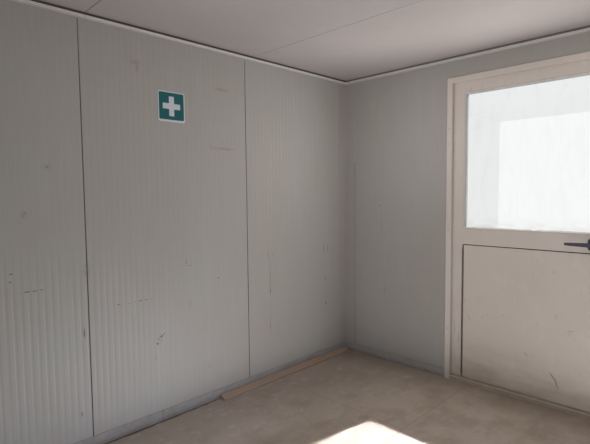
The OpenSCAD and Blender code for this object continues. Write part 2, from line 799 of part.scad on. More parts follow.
// Outline of a rose, drawn in by the given margin
module rose_outline(inset) {
    w = rose_w - 2 * inset;
    square([w, rose_h - rose_w], center = true);
    for (s = [-1, 1]) translate([0, s * (rose_h - rose_w) / 2]) circle(d = w, $fn = 48);
}
module rose() {
    rotate([90, 0, 0]) difference() {
        union() {
            linear_extrude(rose_t - rose_bevel) rose_outline(0);
            linear_extrude(rose_t) rose_outline(rose_bevel);
        }
        translate([0, 0, -1]) cylinder(d = neck_d + 2 * run_clear, h = rose_t + 2, $fn = 48);
    }
}
module handle_roses() {
    color([0.16, 0.14, 0.18]) centred() {
        translate([handle_x, leaf_in, axis_z]) rose();
        translate([handle_x, frame_out, axis_z]) mirror([0, 1, 0]) rose();
    }
}
module lock_cylinder() {
    color([0.6, 0.6, 0.6]) centred()
        translate([cylinder_x, leaf_in - cylinder_out, cylinder_z]) rotate([-90, 0, 0])
            cylinder(d = cylinder_d, h = leaf_t + 2 * cylinder_out, $fn = 48);
}

// Bevelled disc of the lever's grip, its axis along Y
module grip_disc(d) {
    rotate([-90, 0, 0]) {
        translate([0, 0, lever_bevel]) cylinder(d = d, h = lever_t - 2 * lever_bevel, $fn = 32);
        cylinder(d = d - 2 * lever_bevel, h = lever_t, $fn = 32);
    }
}

// One lever, pointing to the hinges, with its grip away from the leaf
module lever() {
    translate([0, lever_stand, 0]) hull() {
        grip_disc(lever_root);
        translate([-lever_l + lever_tip / 2, 0, 0]) grip_disc(lever_tip);
    }
}
module lever_handle() {
    color([0.16, 0.14, 0.18]) centred() translate([handle_x, 0, axis_z]) {
        translate([0, leaf_in - lever_stand, 0]) rotate([-90, 0, 0])
            cylinder(d = neck_d, h = leaf_t + 2 * lever_stand, $fn = 48);
        translate([0, frame_out, 0]) lever();
        translate([0, leaf_in, 0]) mirror([0, 1, 0]) lever();
    }
}

// Square plate with round corners on the second left panel
module first_aid_sign() {
    half = sign_w / 2 - sign_r;
    color([0.05, 0.38, 0.36]) centred()
        translate([-room_w / 2, -sign_y, ceiling_z - sign_drop]) rotate([90, 0, 90]) linear_extrude(sign_t) {
            square([sign_w, 2 * half], center = true);
            square([2 * half, sign_w], center = true);
            for (x = [-half, half], z = [-half, half]) translate([x, z]) circle(r = sign_r, $fn = 48);
        }
}

base_rail_left();
base_rail_right();
base_rail_door();
floor_joists();
floor_boards();
floor_batten();
left_panel_1();
left_panel_2();
left_panel_3();
right_panel_1();
right_panel_2();
right_panel_3();
door_panel_left();
door_panel_right();
door_panel_over();
floor_track_left();
floor_track_right();
floor_track_door();
corner_angles();
ceiling_trim_left();
ceiling_trim_right();
ceiling_trim_door();
corner_post_left();
corner_post_right();
roof_panel_1();
roof_panel_2();
roof_panel_3();
eaves_rail_left();
eaves_rail_right();
eaves_rail_door();
frame_jamb_hinge();
frame_jamb_lock();
frame_head();
door_sill();
door_seal();
strike_plate();
hinge_frame_halves();
hinge_leaf_halves();
leaf_stile_hinge();
leaf_stile_lock();
leaf_top_rail();
leaf_mid_rail();
leaf_bottom_rail();
leaf_infill();
leaf_glass();
glazing_beads();
lock_faceplate();
handle_roses();
lock_cylinder();
lever_handle();
first_aid_sign();
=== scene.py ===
import json
import math
import random
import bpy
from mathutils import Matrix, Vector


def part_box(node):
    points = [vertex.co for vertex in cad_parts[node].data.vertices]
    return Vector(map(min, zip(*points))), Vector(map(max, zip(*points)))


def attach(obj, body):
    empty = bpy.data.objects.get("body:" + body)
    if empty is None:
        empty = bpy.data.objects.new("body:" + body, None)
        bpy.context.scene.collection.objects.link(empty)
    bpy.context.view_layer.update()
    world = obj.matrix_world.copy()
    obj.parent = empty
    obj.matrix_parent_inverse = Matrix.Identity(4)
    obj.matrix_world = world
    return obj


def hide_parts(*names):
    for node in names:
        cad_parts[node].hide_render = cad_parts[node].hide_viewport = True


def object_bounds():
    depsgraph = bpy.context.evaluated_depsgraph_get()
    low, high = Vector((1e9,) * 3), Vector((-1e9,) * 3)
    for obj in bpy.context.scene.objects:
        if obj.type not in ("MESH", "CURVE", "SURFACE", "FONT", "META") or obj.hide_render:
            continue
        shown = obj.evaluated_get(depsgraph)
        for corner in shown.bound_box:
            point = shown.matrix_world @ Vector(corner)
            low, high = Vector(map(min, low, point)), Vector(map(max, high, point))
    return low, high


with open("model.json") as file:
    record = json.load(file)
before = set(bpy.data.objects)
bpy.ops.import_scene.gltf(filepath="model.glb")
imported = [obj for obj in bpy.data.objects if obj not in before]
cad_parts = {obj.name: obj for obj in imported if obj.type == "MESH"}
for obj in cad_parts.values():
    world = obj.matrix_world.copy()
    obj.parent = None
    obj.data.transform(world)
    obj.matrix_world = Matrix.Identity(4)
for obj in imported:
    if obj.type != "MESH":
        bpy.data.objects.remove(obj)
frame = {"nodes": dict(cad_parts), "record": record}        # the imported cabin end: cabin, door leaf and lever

from types import SimpleNamespace

import bmesh
import bpy
from mathutils import Matrix, Vector

cadLow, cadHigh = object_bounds()
record = frame["record"]
nodes = frame["nodes"]
mm = 0.001
print("stage 1: frame loaded,", len(nodes), "parts")


# Where things are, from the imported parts
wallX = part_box("left_panel_1")[1].x              # inner face of the left wall
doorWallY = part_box("door_panel_left")[0].y       # inner face of the door wall
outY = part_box("door_panel_left")[1].y            # its outer face
openEnd = cadLow.y + 2 * mm                      # where runs along the room stop at the open end
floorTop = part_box("floor_boards")[1].z
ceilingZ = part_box("roof_panel_1")[0].z
trackLow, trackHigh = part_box("floor_track_left")
trimLow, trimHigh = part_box("ceiling_trim_left")
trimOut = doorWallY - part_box("ceiling_trim_door")[0].y
angleThick = 1.5 * mm                            # sheet of the inner corner angles
wallRibs = 1.15 / 32                             # pitch of the valleys in the wall panels
toLeft = (-1, 0, 0)
toRight = (1, 0, 0)
inward = (0, -1, 0)
outward = (0, 1, 0)
upward = (0, 0, 1)


# Small helpers for values, nodes and colours

# Millimetres in metres: a value, each one in a tuple, or a dictionary's values under their names
def metres(value):
    if isinstance(value, dict):
        return SimpleNamespace(**{key: metres(entry) for key, entry in value.items()})
    if isinstance(value, tuple):
        return tuple(metres(entry) for entry in value)
    return value * mm


def linearHex(text, alpha=1.0):
    def toLinear(c):
        return c / 12.92 if c <= 0.04045 else ((c + 0.055) / 1.055) ** 2.4
    return tuple(toLinear(int(text[i:i + 2], 16) / 255) for i in (1, 3, 5)) + (alpha,)


# A node with its inputs, which are values or other nodes, and its settings
def addNode(tree, kind, inputs=None, **settings):
    node = tree.nodes.new("ShaderNode" + kind)
    for key, value in settings.items():
        setattr(node, key, value)
    for key, value in (inputs or {}).items():
        if isinstance(value, bpy.types.Node):
            value = value.outputs[0]
        if isinstance(value, bpy.types.NodeSocket):
            tree.links.new(value, node.inputs[key])
        else:
            node.inputs[key].default_value = value
    return node


def newMaterial(name, settings):
    material = bpy.data.materials.new(name)
    material.use_nodes = True
    shader = material.node_tree.nodes["Principled BSDF"]
    for key, value in settings.items():
        shader.inputs[key].default_value = value
    return material, material.node_tree, shader


# Scale of a pattern whose cells have the given size in millimetres, one for all axes or three
def cells(size):
    return tuple(1000 / s for s in (size if isinstance(size, tuple) else (size,) * 3))


noiseDetail = 3.0         # octaves of a layer's noise, unless the layer gives its own
noiseRough = 0.55
spotDeep = 60             # how far a spot reaches off the face of the wall, in mm
spotCore = 0.3            # the share of a spot that is at its full strength


# A layer of a finish: its colour and share, its cells' size in mm and the band of noise it shows
# in. It can fade along axes, from full to gone, keep to one line on every rib, given as centre and
# half width in shares of the pitch, or keep to soft spots on the left wall: y, z in metres and
# their half sizes in mm.
def layer(colour, share, size, band, **more):
    return {"colour": colour, "share": share, "size": size, "band": band, **more}


def layerMask(tree, coords, one):
    scaled = addNode(tree, "Mapping", {"Vector": coords, "Scale": cells(one["size"]),
                                       "Location": (one.get("shift", 0),) * 3})
    noise = addNode(tree, "TexNoise", {
        "Vector": scaled, "Scale": 1.0, "Detail": one.get("detail", noiseDetail),
        "Roughness": noiseRough, "Distortion": one.get("distort", 0.0)})
    low, high = one["band"]
    mask = addNode(tree, "MapRange", {"Value": noise, "From Min": low, "From Max": high,
                                      "To Min": 0.0, "To Max": one["share"]})
    falls = []
    if "fade" in one or "ribs" in one:
        place = addNode(tree, "SeparateXYZ", {0: coords}).outputs
        falls += [(place[axis], full, gone) for axis, full, gone in one.get("fade", ())]
    if "ribs" in one:
        centre, half = one["ribs"]
        first = doorWallY / wallRibs - centre + 0.5
        count = addNode(tree, "Math", {0: place[1], 1: -1 / wallRibs, 2: first}, operation="MULTIPLY_ADD")
        phase = addNode(tree, "Math", {0: count}, operation="FRACT")
        away = addNode(tree, "Math", {0: phase, 1: 0.5}, operation="SUBTRACT")
        falls.append((addNode(tree, "Math", {0: away}, operation="ABSOLUTE"), 0.0, half))
    if "spots" in one:
        nearest = 1.0
        for y, z, wide, tall in one["spots"]:
            away = addNode(tree, "VectorMath", {0: coords, 1: (wallX, y, z)}, operation="SUBTRACT")
            reach = metres((spotDeep, wide, tall))
            away = addNode(tree, "VectorMath", {0: away, 1: reach}, operation="DIVIDE")
            away = addNode(tree, "VectorMath", {0: away}, operation="LENGTH").outputs["Value"]
            nearest = addNode(tree, "Math", {0: nearest, 1: away}, operation="MINIMUM")
        falls.append((nearest, spotCore, 1.0))
    for value, full, gone in falls:
        fall = addNode(tree, "MapRange", {"Value": value, "From Min": full, "From Max": gone,
                                          "To Min": 1.0, "To Max": 0.0}, interpolation_type="SMOOTHSTEP")
        mask = addNode(tree, "Math", {0: mask, 1: fall}, operation="MULTIPLY")
    return mask


materials = {}


# The body of every opaque finish: base colour, layers over it, roughness that varies, fine relief.
# The IOR is the shader's own 1.5 unless a finish gives another.
def finish(name, look):
    material, tree, shader = newMaterial(name, look.get("shader", {}))
    coords = addNode(tree, "TexCoord").outputs["Object"]
    colour = linearHex(look["base"])
    for one in look["layers"]:
        mask = layerMask(tree, coords, one)
        colour = addNode(tree, "Mix", {0: mask, 6: colour, 7: linearHex(one["colour"])},
                         data_type="RGBA").outputs[2]
    patches = layerMask(tree, coords, {"share": 1.0, "size": look["patchMm"], "band": (0.3, 0.7)})
    low, high = look["rough"]
    rough = addNode(tree, "MapRange", {"Value": patches, "To Min": low, "To Max": high})
    relief = addNode(tree, "Mapping", {"Vector": coords, "Scale": cells(look["grainMm"])})
    grain = addNode(tree, "TexNoise", {"Vector": relief, "Scale": 1.0, "Detail": 4.0})
    bump = addNode(tree, "Bump", {"Height": grain, "Distance": look["grainDepth"] * mm, "Strength": 1.0})
    for socket, source in (("Base Color", colour), ("Roughness", rough.outputs[0]),
                           ("Normal", bump.outputs[0])):
        tree.links.new(source, shader.inputs[socket])
    materials[look.get("slot", name)] = material
    return material


# Finishes

# What several finishes share: how little a dusty surface and dry dirt shine, and a mark's texture
dustyMatt = {"IOR": 1.5, "Specular IOR Level": 0.3}
dryDirt = {"IOR": 1.45, "Specular IOR Level": 0.2}
markTexture = {"shader": dryDirt, "rough": (0.7, 0.9), "patchMm": 6, "grainMm": 1, "grainDepth": 0.02}

# Roll-formed steel with a polyester coat, off-white gone grey: satin, dusty, a little patchy,
# with one rust-yellow run near the ceiling, a rubbed line and smears that the photograph shows
finish("coatedSteelWall", {
    "slot": "wall_skin", "base": "#adaaa4",
    "layers": [
        layer("#aaa199", 0.4, (900, 900, 1300), (0.35, 0.65)),
        layer("#a9aca2", 0.35, (600, 600, 900), (0.5, 0.7), shift=3),
        layer("#c5c5bb", 0.12, (60, 60, 500), (0.55, 0.75), shift=7),
        layer("#918d87", 0.12, (80, 80, 420), (0.58, 0.76), shift=11),
        layer("#918c81", 0.16, (70, 70, 45), (0.68, 0.76), shift=5),
        layer("#6e6a64", 0.4, 9, (0.76, 0.8)),
        # Painted light: lighter and bluish from the floor up to about 0.45 m
        layer("#acb4bd", 0.25, (260, 260, 60), (0.3, 0.6), fade=[(2, floorTop + 0.05, floorTop + 0.45)]),
        # Painted shade and highlight: a broad dark line and a narrow light line on every rib, from 0.1 to 1.45
        # m up and strongest towards the open end, for light grazing the ribs
        layer("#908d84", 0.3, (1000, 44, 420), (0.25, 0.55), shift=13, ribs=(0.98, 0.34),
              fade=[(2, 0.95, 1.45), (2, 0.45, 0.1), (1, -0.7, 0.1)]),
        layer("#cdcbc3", 0.5, (1000, 44, 420), (0.25, 0.55), shift=14, ribs=(0.33, 0.13),
              fade=[(2, 0.95, 1.45), (2, 0.45, 0.1), (1, -0.7, 0.1)]),
        # Painted highlight and shade above 1.2 m: a faint light and a faint dark line on every rib, set against
        # the ribs' own shading so that it fades out higher up
        layer("#d5d3cc", 0.06, (1000, 44, 420), (0.1, 0.35), shift=16, ribs=(0.26, 0.27),
              fade=[(2, 1.45, 1.2)]),
        layer("#86837c", 0.065, (1000, 44, 420), (0.1, 0.35), shift=17, ribs=(0.7, 0.3),
              fade=[(2, 1.45, 1.2)]),
        layer("#988b75", 0.5, (14, 14, 18), (0.3, 0.5), shift=4, spots=[(-0.321, 2.363, 44, 24),
              (-0.310, 2.331, 18, 40), (0.305, 2.294, 90, 18), (0.312, 1.892, 140, 14)]),
        layer("#88857f", 0.4, 16, (0.35, 0.55), shift=15, spots=[(-0.825, 1.731, 34, 24),
              (-0.942, 1.485, 26, 26), (-0.648, 1.166, 30, 60), (0.204, 1.899, 14, 30)]),
        layer("#89847b", 0.4, (5, 5, 30), (0.42, 0.6), shift=9, spots=[(0.725, 0.87, 12, 420),
              (-0.670, 0.815, 18, 60), (-0.213, 0.672, 34, 40), (-0.702, 0.361, 20, 26)])],
    "rough": (0.42, 0.6), "patchMm": (160, 160, 500), "grainMm": (3, 3, 5), "grainDepth": 0.05})

# The same coat on the flat ceiling sheets, which stay cleaner; the top of the roof is weathered
finish("coatedSteelCeiling", {
    "slot": "roof_skin", "base": "#b6afaa",
    "layers": [
        layer("#aea59f", 0.35, (800, 900, 600), (0.35, 0.65)),
        layer("#c4c1ba", 0.14, (160, 90, 90), (0.6, 0.72), shift=4),
        layer("#7b7570", 0.3, 12, (0.74, 0.8), shift=2),
        layer("#86837c", 0.5, (300, 40, 200), (0.3, 0.65), fade=[(2, ceilingZ + 0.14, ceilingZ + 0.07)]),
        layer("#ababa6", 0.75, 1000, (0.0, 0.1), fade=[(2, ceilingZ + 0.10, ceilingZ + 0.06)])],
    "rough": (0.4, 0.58), "patchMm": 300, "grainMm": 4, "grainDepth": 0.05})

# Folded angles in the wall's own coat: smoother, a little darker with handling
finish("coatedSteelCorner", {
    "slot": "cornerSheet", "base": "#ada9a4",
    "layers": [
        layer("#a79e9a", 0.4, (300, 300, 700), (0.35, 0.65)),
        layer("#958f8b", 0.25, (30, 30, 90), (0.64, 0.74), shift=6),
        layer("#726d67", 0.4, 9, (0.74, 0.78))],
    "rough": (0.4, 0.56), "patchMm": (90, 90, 300), "grainMm": 4, "grainDepth": 0.04})

# Slim ceiling trim, white-coated and cleaner than the walls, with rubbed patches and painted shade along its
# lowest few millimetres
finish("coatedSteelTrim", {
    "slot": "trim_sheet", "base": "#e6e3de",
    "layers": [
        layer("#d6d2cc", 0.4, (300, 300, 500), (0.4, 0.7)),
        layer("#a29d97", 0.3, (30, 30, 60), (0.62, 0.72), shift=6),
        # Painted shade: darker on the lowest 3 to 8 mm of the trim
        layer("#8d8781", 0.6, 200, (0.0, 0.2), fade=[(2, trimLow.z + 0.003, trimLow.z + 0.008)])],
    "rough": (0.38, 0.55), "patchMm": (90, 90, 200), "grainMm": 4, "grainDepth": 0.04})

# Hot-dip galvanised sheet: cold grey with blurred spangle, dulled by floor dust
finish("galvanisedTrack", {
    "slot": "galvanised", "base": "#b4b4b6", "shader": {"Metallic": 0.3},
    "layers": [
        layer("#92959d", 0.2, (18, 18, 14), (0.42, 0.58), detail=0.5),
        layer("#98928b", 0.35, (120, 120, 60), (0.4, 0.62), shift=8),
        layer("#665f5a", 0.22, (40, 40, 25), (0.6, 0.7), shift=3),
        layer("#897e74", 0.6, 60, (0.2, 0.5), fade=[(2, floorTop, floorTop + 0.035)])],
    "rough": (0.45, 0.7), "patchMm": 40, "grainMm": 2, "grainDepth": 0.06})

# Cement-bonded floor sheets under a coat of trodden dust: matt, mottled, dragged lengthwise
finish("cementFloorSheet", {
    "slot": "floor_board", "base": "#b0a395", "shader": dustyMatt,
    "layers": [
        layer("#bcb0a3", 0.55, (500, 700, 300), (0.36, 0.64)),
        # Painted shade: the floor darkens towards the left wall, from x -0.55 m to full at x -1.35 m
        layer("#8b8078", 0.55, 800, (0.0, 0.1), shift=24, fade=[(0, -1.35, -0.55)]),
        layer("#8f8275", 0.42, (170, 260, 100), (0.46, 0.64), shift=5, detail=4.0),
        layer("#998672", 0.34, (300, 240, 100), (0.54, 0.68), shift=21, detail=4.0, distort=0.6),
        layer("#7f7367", 0.25, (28, 70, 40), (0.6, 0.72), shift=26, distort=1.0),
        layer("#bfb5a8", 0.3, (45, 70, 40), (0.56, 0.68), shift=9),
        layer("#7c7062", 0.35, (9, 12, 10), (0.6, 0.7), shift=2),
        layer("#c9beb1", 0.25, 3, (0.6, 0.7), shift=12),
        layer("#86796c", 0.5, (200, 200, 100), (0.15, 0.5), shift=17, fade=[(1, 1.6, 1.35)])],
    "rough": (0.75, 0.95), "patchMm": 200, "grainMm": (5, 6, 5), "grainDepth": 0.5})

# Sawn pine, gone orange-brown: long fibres, matt, dusty
finish("sawnPine", {
    "slot": "softwood", "base": "#a38975", "shader": dustyMatt,
    "layers": [
        layer("#99806e", 0.6, (3, 260, 3), (0.4, 0.6)),
        layer("#c1a894", 0.5, (1.6, 90, 1.6), (0.5, 0.66), shift=4),
        layer("#8f8981", 0.6, (60, 90, 40), (0.45, 0.62), shift=7)],
    "rough": (0.7, 0.9), "patchMm": (30, 120, 30), "grainMm": (1.5, 60, 1.5), "grainDepth": 0.4})

# Extruded PVC, cream-white and aged: satin, warm, with grey rubbing marks low down
finish("agedPvc", {
    "slot": "door_pvc", "base": "#ddd3c9",
    "shader": {"IOR": 1.53, "Coat Weight": 0.08, "Coat Roughness": 0.25},
    "layers": [
        layer("#d1c8bd", 0.4, (500, 500, 700), (0.35, 0.65)),
        layer("#e9dfd5", 0.25, (90, 90, 140), (0.58, 0.72), shift=4),
        layer("#a79d95", 0.35, (26, 26, 60), (0.66, 0.76), shift=8),
        layer("#aea396", 0.55, (300, 300, 90), (0.3, 0.65), fade=[(2, floorTop + 0.1, floorTop + 0.42)]),
        layer("#82776e", 0.5, 5, (0.72, 0.78), shift=1),
        # Painted light: the PVC on the hinge side, left of x -0.51 m, is lighter below 1.24 m
        layer("#e4e0da", 0.5, (200, 200, 300), (0.1, 0.3), fade=[(2, 1.24, 1.32), (0, -0.512, -0.508)])],
    "rough": (0.3, 0.5), "patchMm": (120, 120, 200), "grainMm": 2.5, "grainDepth": 0.03})

# White co-extruded PVC of the glazing beads: cleaner and glossier than the frame, and whiter partly as painted
# light, for beads lit through the glass
finish("whitePvc", {
    "slot": "bead_pvc", "base": "#e2e0dc", "shader": {"IOR": 1.53},
    "layers": [
        layer("#bcb8b0", 0.3, (120, 120, 160), (0.45, 0.7)),
        layer("#8d877f", 0.4, (12, 12, 20), (0.68, 0.76), shift=3)],
    "rough": (0.25, 0.4), "patchMm": 60, "grainMm": 2, "grainDepth": 0.02})

# Mill-finish aluminium under trodden dust: beige and matt, with dull metal streaks rubbed free
finish("millAluminium", {
    "slot": "sill_aluminium", "base": "#bfb3a4", "shader": {"Metallic": 0.1},
    "layers": [
        layer("#cec9c3", 0.4, (160, 4, 4), (0.5, 0.66)),
        layer("#afa293", 0.6, (90, 30, 30), (0.35, 0.6), shift=5),
        layer("#928578", 0.35, 12, (0.55, 0.66), shift=6)],
    "rough": (0.55, 0.8), "patchMm": (60, 20, 20), "grainMm": (60, 0.8, 0.8), "grainDepth": 0.04})

# Powder-coated zinc casting, almost black with a violet cast: satin with fine orange peel
finish("darkPowderCoat", {
    "slot": "handle_metal", "base": "#3d3a4a",
    "shader": {"IOR": 1.5, "Coat Weight": 0.25, "Coat Roughness": 0.2},
    "layers": [
        layer("#4f4a60", 0.4, 20, (0.5, 0.7)),
        layer("#8b8593", 0.6, 5, (0.68, 0.75), shift=3)],
    "rough": (0.3, 0.45), "patchMm": 12, "grainMm": 0.8, "grainDepth": 0.03})

# Powder-coated steel of the hinges: white-grey, satin, rust starting at the knuckle ends
finish("hingePaint", {
    "slot": "hinge_metal", "base": "#d1cdc6",
    "layers": [
        layer("#aaa499", 0.4, (18, 18, 26), (0.55, 0.7)),
        layer("#895334", 0.8, (6, 6, 9), (0.68, 0.74), shift=5)],
    "rough": (0.35, 0.5), "patchMm": 15, "grainMm": 1, "grainDepth": 0.04})

# Nickel-plated brass, satin brushed: warm grey metal
finish("satinNickel", {
    "slot": "lock_nickel", "base": "#a8a49c", "shader": {"Metallic": 1.0},
    "layers": [
        layer("#8b867e", 0.35, (2, 2, 40), (0.45, 0.62)),
        layer("#6f685f", 0.4, 9, (0.6, 0.7), shift=4)],
    "rough": (0.28, 0.42), "patchMm": 9, "grainMm": (0.6, 0.6, 20), "grainDepth": 0.02})

# Soft weather seal, extruded in cream: matt, cream above the handle, and below it nearly black as painted shade
# of the gap round the leaf
finish("creamSeal", {
    "slot": "seal_rubber", "base": "#c0b8ae", "shader": {"IOR": 1.5, "Specular IOR Level": 0.35},
    "layers": [
        layer("#b0a89e", 0.4, (30, 30, 60), (0.4, 0.65)),
        # Painted shade: nearly black below 1.15 m
        layer("#49423c", 0.9, (8, 8, 60), (0.3, 0.5), shift=2, fade=[(2, 1.15, 1.3)]),
        layer("#9c9286", 0.85, 60, (0.1, 0.3), fade=[(2, 0.182, 0.2)])],
    "rough": (0.6, 0.8), "patchMm": 10, "grainMm": 1, "grainDepth": 0.05})

# Primed and painted structural steel: mid grey, brush-level sheen, chipped, rust in the chips
finish("steelPaint", {
    "slot": "base_steel", "base": "#878b8e",
    "layers": [
        layer("#7c8085", 0.4, (400, 400, 300), (0.4, 0.65)),
        layer("#9b9993", 0.35, (60, 60, 200), (0.56, 0.7), shift=6),
        layer("#75452c", 0.85, 14, (0.7, 0.75), shift=3),
        layer("#796f63", 0.6, (200, 200, 60), (0.3, 0.6), fade=[(2, 0.0, 0.12)])],
    "rough": (0.4, 0.62), "patchMm": 70, "grainMm": 3, "grainDepth": 0.12})

# Rigid printed plastic plate: even teal green, satin, a little dust
finish("signGreen", {
    "slot": "sign_plastic", "base": "#106164", "shader": {"IOR": 1.49},
    "layers": [
        layer("#155b5e", 0.35, 60, (0.4, 0.65)),
        layer("#368182", 0.3, 10, (0.66, 0.74), shift=4)],
    "rough": (0.3, 0.42), "patchMm": 50, "grainMm": 2, "grainDepth": 0.01})

# White ink of the print: flat, slightly cool
finish("signWhite", {
    "base": "#cfd4d9", "shader": {"IOR": 1.49},
    "layers": [
        layer("#bfc7cc", 0.3, 40, (0.45, 0.7)),
        layer("#a0a7aa", 0.4, 7, (0.66, 0.74), shift=4)],
    "rough": (0.4, 0.5), "patchMm": 30, "grainMm": 1, "grainDepth": 0.01})

# Bright zinc-plated screws with dirt in the recess
finish("zincPlate", {
    "base": "#a9a79f", "shader": {"Metallic": 1.0},
    "layers": [
        layer("#7d7a72", 0.5, 5, (0.45, 0.62)),
        layer("#4b3a2c", 0.6, 3, (0.6, 0.68), shift=2)],
    "rough": (0.35, 0.55), "patchMm": 4, "grainMm": 0.6, "grainDepth": 0.02})

# Old nail heads: wrought-brown rust, matt and pitted
finish("rustyIron", {
    "base": "#5a3a28", "shader": dustyMatt,
    "layers": [layer("#3a2a22", 0.6, 2, (0.45, 0.6))],
    "rough": (0.7, 0.9), "patchMm": 3, "grainMm": 0.8, "grainDepth": 0.1})

# Rigid polyurethane foam where the panels are cut or end: cream, fine cells, browned by light
finish("puFoam", {
    "base": "#cbb27c", "shader": {"IOR": 1.45, "Specular IOR Level": 0.15},
    "layers": [
        layer("#b2935c", 0.6, (60, 60, 90), (0.4, 0.65)),
        layer("#8e7040", 0.6, 2.5, (0.5, 0.62), shift=5)],
    "rough": (0.85, 0.95), "patchMm": 20, "grainMm": 2.5, "grainDepth": 0.8})

# Neutral silicone, tooled by hand: soft grey-white, dust stuck to it
finish("silicone", {
    "base": "#c2bbb4", "shader": {"IOR": 1.43},
    "layers": [
        layer("#a8a29a", 0.5, (40, 40, 60), (0.4, 0.65)),
        layer("#7a7169", 0.5, 5, (0.6, 0.7), shift=3)],
    "rough": (0.4, 0.6), "patchMm": 12, "grainMm": 3, "grainDepth": 0.15})

# What boots, tools and furniture rub off on a wall: grey-brown, matt
finish("rubbedMark", {
    **markTexture, "base": "#5a534d",
    "layers": [
        layer("#6f6861", 0.7, (6, 6, 4), (0.42, 0.6)),
        layer("#3d3834", 0.6, 2, (0.5, 0.62), shift=3)]})

# The lighter marks: dust rubbed off or smeared, only a shade darker than the coat
finish("faintMark", {
    **markTexture, "base": "#8f8880", "layers": [layer("#9f9991", 0.7, (4, 4, 8), (0.42, 0.6))]})

# Scuffs on the door: warm grey, a shade or two darker than the PVC
finish("doorScuff", {
    **markTexture, "base": "#b1a79d", "layers": [layer("#9e948b", 0.7, (4, 4, 8), (0.42, 0.6))]})

# Butyl sealing tape: grey-brown, matt, coated with dust
finish("butylTape", {
    "base": "#8b837b", "shader": dustyMatt,
    "layers": [
        layer("#7d756d", 0.5, (60, 60, 20), (0.4, 0.65)),
        layer("#9c948b", 0.4, 8, (0.6, 0.7), shift=2)],
    "rough": (0.7, 0.9), "patchMm": 10, "grainMm": 2, "grainDepth": 0.1})

# Foam strip squeezed into the joints between the panels: grey, matt, darker from about 1.7 m down and lighter
# near the ceiling
finish("jointSeal", {
    "base": "#6d6760", "shader": dryDirt,
    "layers": [
        layer("#5a544e", 0.5, (4, 4, 60), (0.4, 0.6)),
        layer("#45403b", 0.7, (8, 8, 90), (0.3, 0.6), shift=2, fade=[(2, 0.9, 1.7)]),
        layer("#9c968f", 0.8, (9, 9, 60), (0.1, 0.3), shift=4, fade=[(2, 2.45, 2.05)])],
    "rough": (0.8, 0.95), "patchMm": 6, "grainMm": 1, "grainDepth": 0.1})

# The bottom of a drilled hole: shadow with a little foam dust
finish("holeShadow", {
    "base": "#1d1a17", "shader": {"IOR": 1.45, "Specular IOR Level": 0.1},
    "layers": [layer("#39302a", 0.5, 1.5, (0.5, 0.65))],
    "rough": (0.8, 0.95), "patchMm": 2, "grainMm": 1, "grainDepth": 0.1})


# Float glass: colourless, with thin smears of dust that dull it slightly, most along its foot
floatGlass = {"tint": "#fbfcfc", "ior": 1.52, "rough": 0.01, "dusty": "#efedeb", "smear": 0.3, "foot": 0.5,
              "footTall": 120}


def makeGlass():
    s = floatGlass
    material, tree, shader = newMaterial("floatGlass", {
        "Base Color": linearHex(s["tint"]), "IOR": s["ior"], "Roughness": s["rough"],
        "Transmission Weight": 1.0})
    coords = addNode(tree, "TexCoord").outputs["Object"]
    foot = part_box("leaf_glass")[0].z
    smear = layerMask(tree, coords, {"share": s["smear"], "size": (50, 50, 260), "band": (0.5, 0.8),
                                     "distort": 0.6})
    low = layerMask(tree, coords, {"share": s["foot"], "size": (120, 120, 40), "band": (0.3, 0.6),
                                   "fade": [(2, foot, foot + s["footTall"] * mm)]})
    dusty = addNode(tree, "Math", {0: smear, 1: low}, operation="MAXIMUM")
    tint = addNode(tree, "Mix", {0: dusty, 6: linearHex(s["tint"]), 7: linearHex(s["dusty"])},
                   data_type="RGBA").outputs[2]
    tree.links.new(tint, shader.inputs["Base Color"])
    clear = addNode(tree, "BsdfTransparent", {"Color": tint})
    path = addNode(tree, "LightPath")
    pane = addNode(tree, "MixShader", {0: path.outputs["Is Shadow Ray"], 1: shader, 2: clear})
    tree.links.new(pane.outputs[0], tree.nodes["Material Output"].inputs["Surface"])
    materials["glass"] = material


makeGlass()
print("stage 2: materials made,", len(materials))

slotOf = {part["node"]: part["material_slot"] for part in record["subparts"]}
slotOf["corner_angles"] = "cornerSheet"
for name, node in nodes.items():
    node.data.materials.clear()
    node.data.materials.append(materials[slotOf[name]])
print("stage 3: materials on the parts")


# Mesh helpers. A shape is a list of points and a list of faces.

# Rings of points joined by quads: capped at both ends, or closed from the last ring to the first
def skin(rings, closed=False):
    count = len(rings[0])
    points = [tuple(point) for ring in rings for point in ring]
    faces = []
    for level in range(len(rings) if closed else len(rings) - 1):
        a, b = level * count, (level + 1) % len(rings) * count
        faces.extend((a + i, a + (i + 1) % count, b + (i + 1) % count, b + i) for i in range(count))
    if not closed:
        faces.append(tuple(reversed(range(count))))
        faces.append(tuple(range(len(points) - count, len(points))))
    return points, faces


def rectangle(x0, x1, y0, y1):
    return [(x0, y0), (x1, y0), (x1, y1), (x0, y1)]


# An outline raised to a depth, its far edge bevelled
def prism(outline, depth, bevel=0.0):
    rings = [(outline, 0.0), (outline, depth - bevel)]
    if bevel:
        inner = []
        for i, p in enumerate(outline):
            a = (Vector(outline[i - 1]) - Vector(p)).normalized()
            b = (Vector(outline[(i + 1) % len(outline)]) - Vector(p)).normalized()
            n = Vector((a.y - b.y, b.x - a.x)).normalized()
            reach = bevel / max(0.3, abs(n.dot(Vector((-b.y, b.x)))))
            inner.append((p[0] + n.x * reach, p[1] + n.y * reach))
        rings.append((inner, depth))
    return skin([[(x, y, z) for x, y in ring] for ring, z in rings])


# The band between two outlines, raised to a depth
def band(outer, inner, depth):
    edges = ((outer, 0), (outer, depth), (inner, depth), (inner, 0))
    return skin([[(x, y, z) for x, y in edge] for edge, z in edges], closed=True)


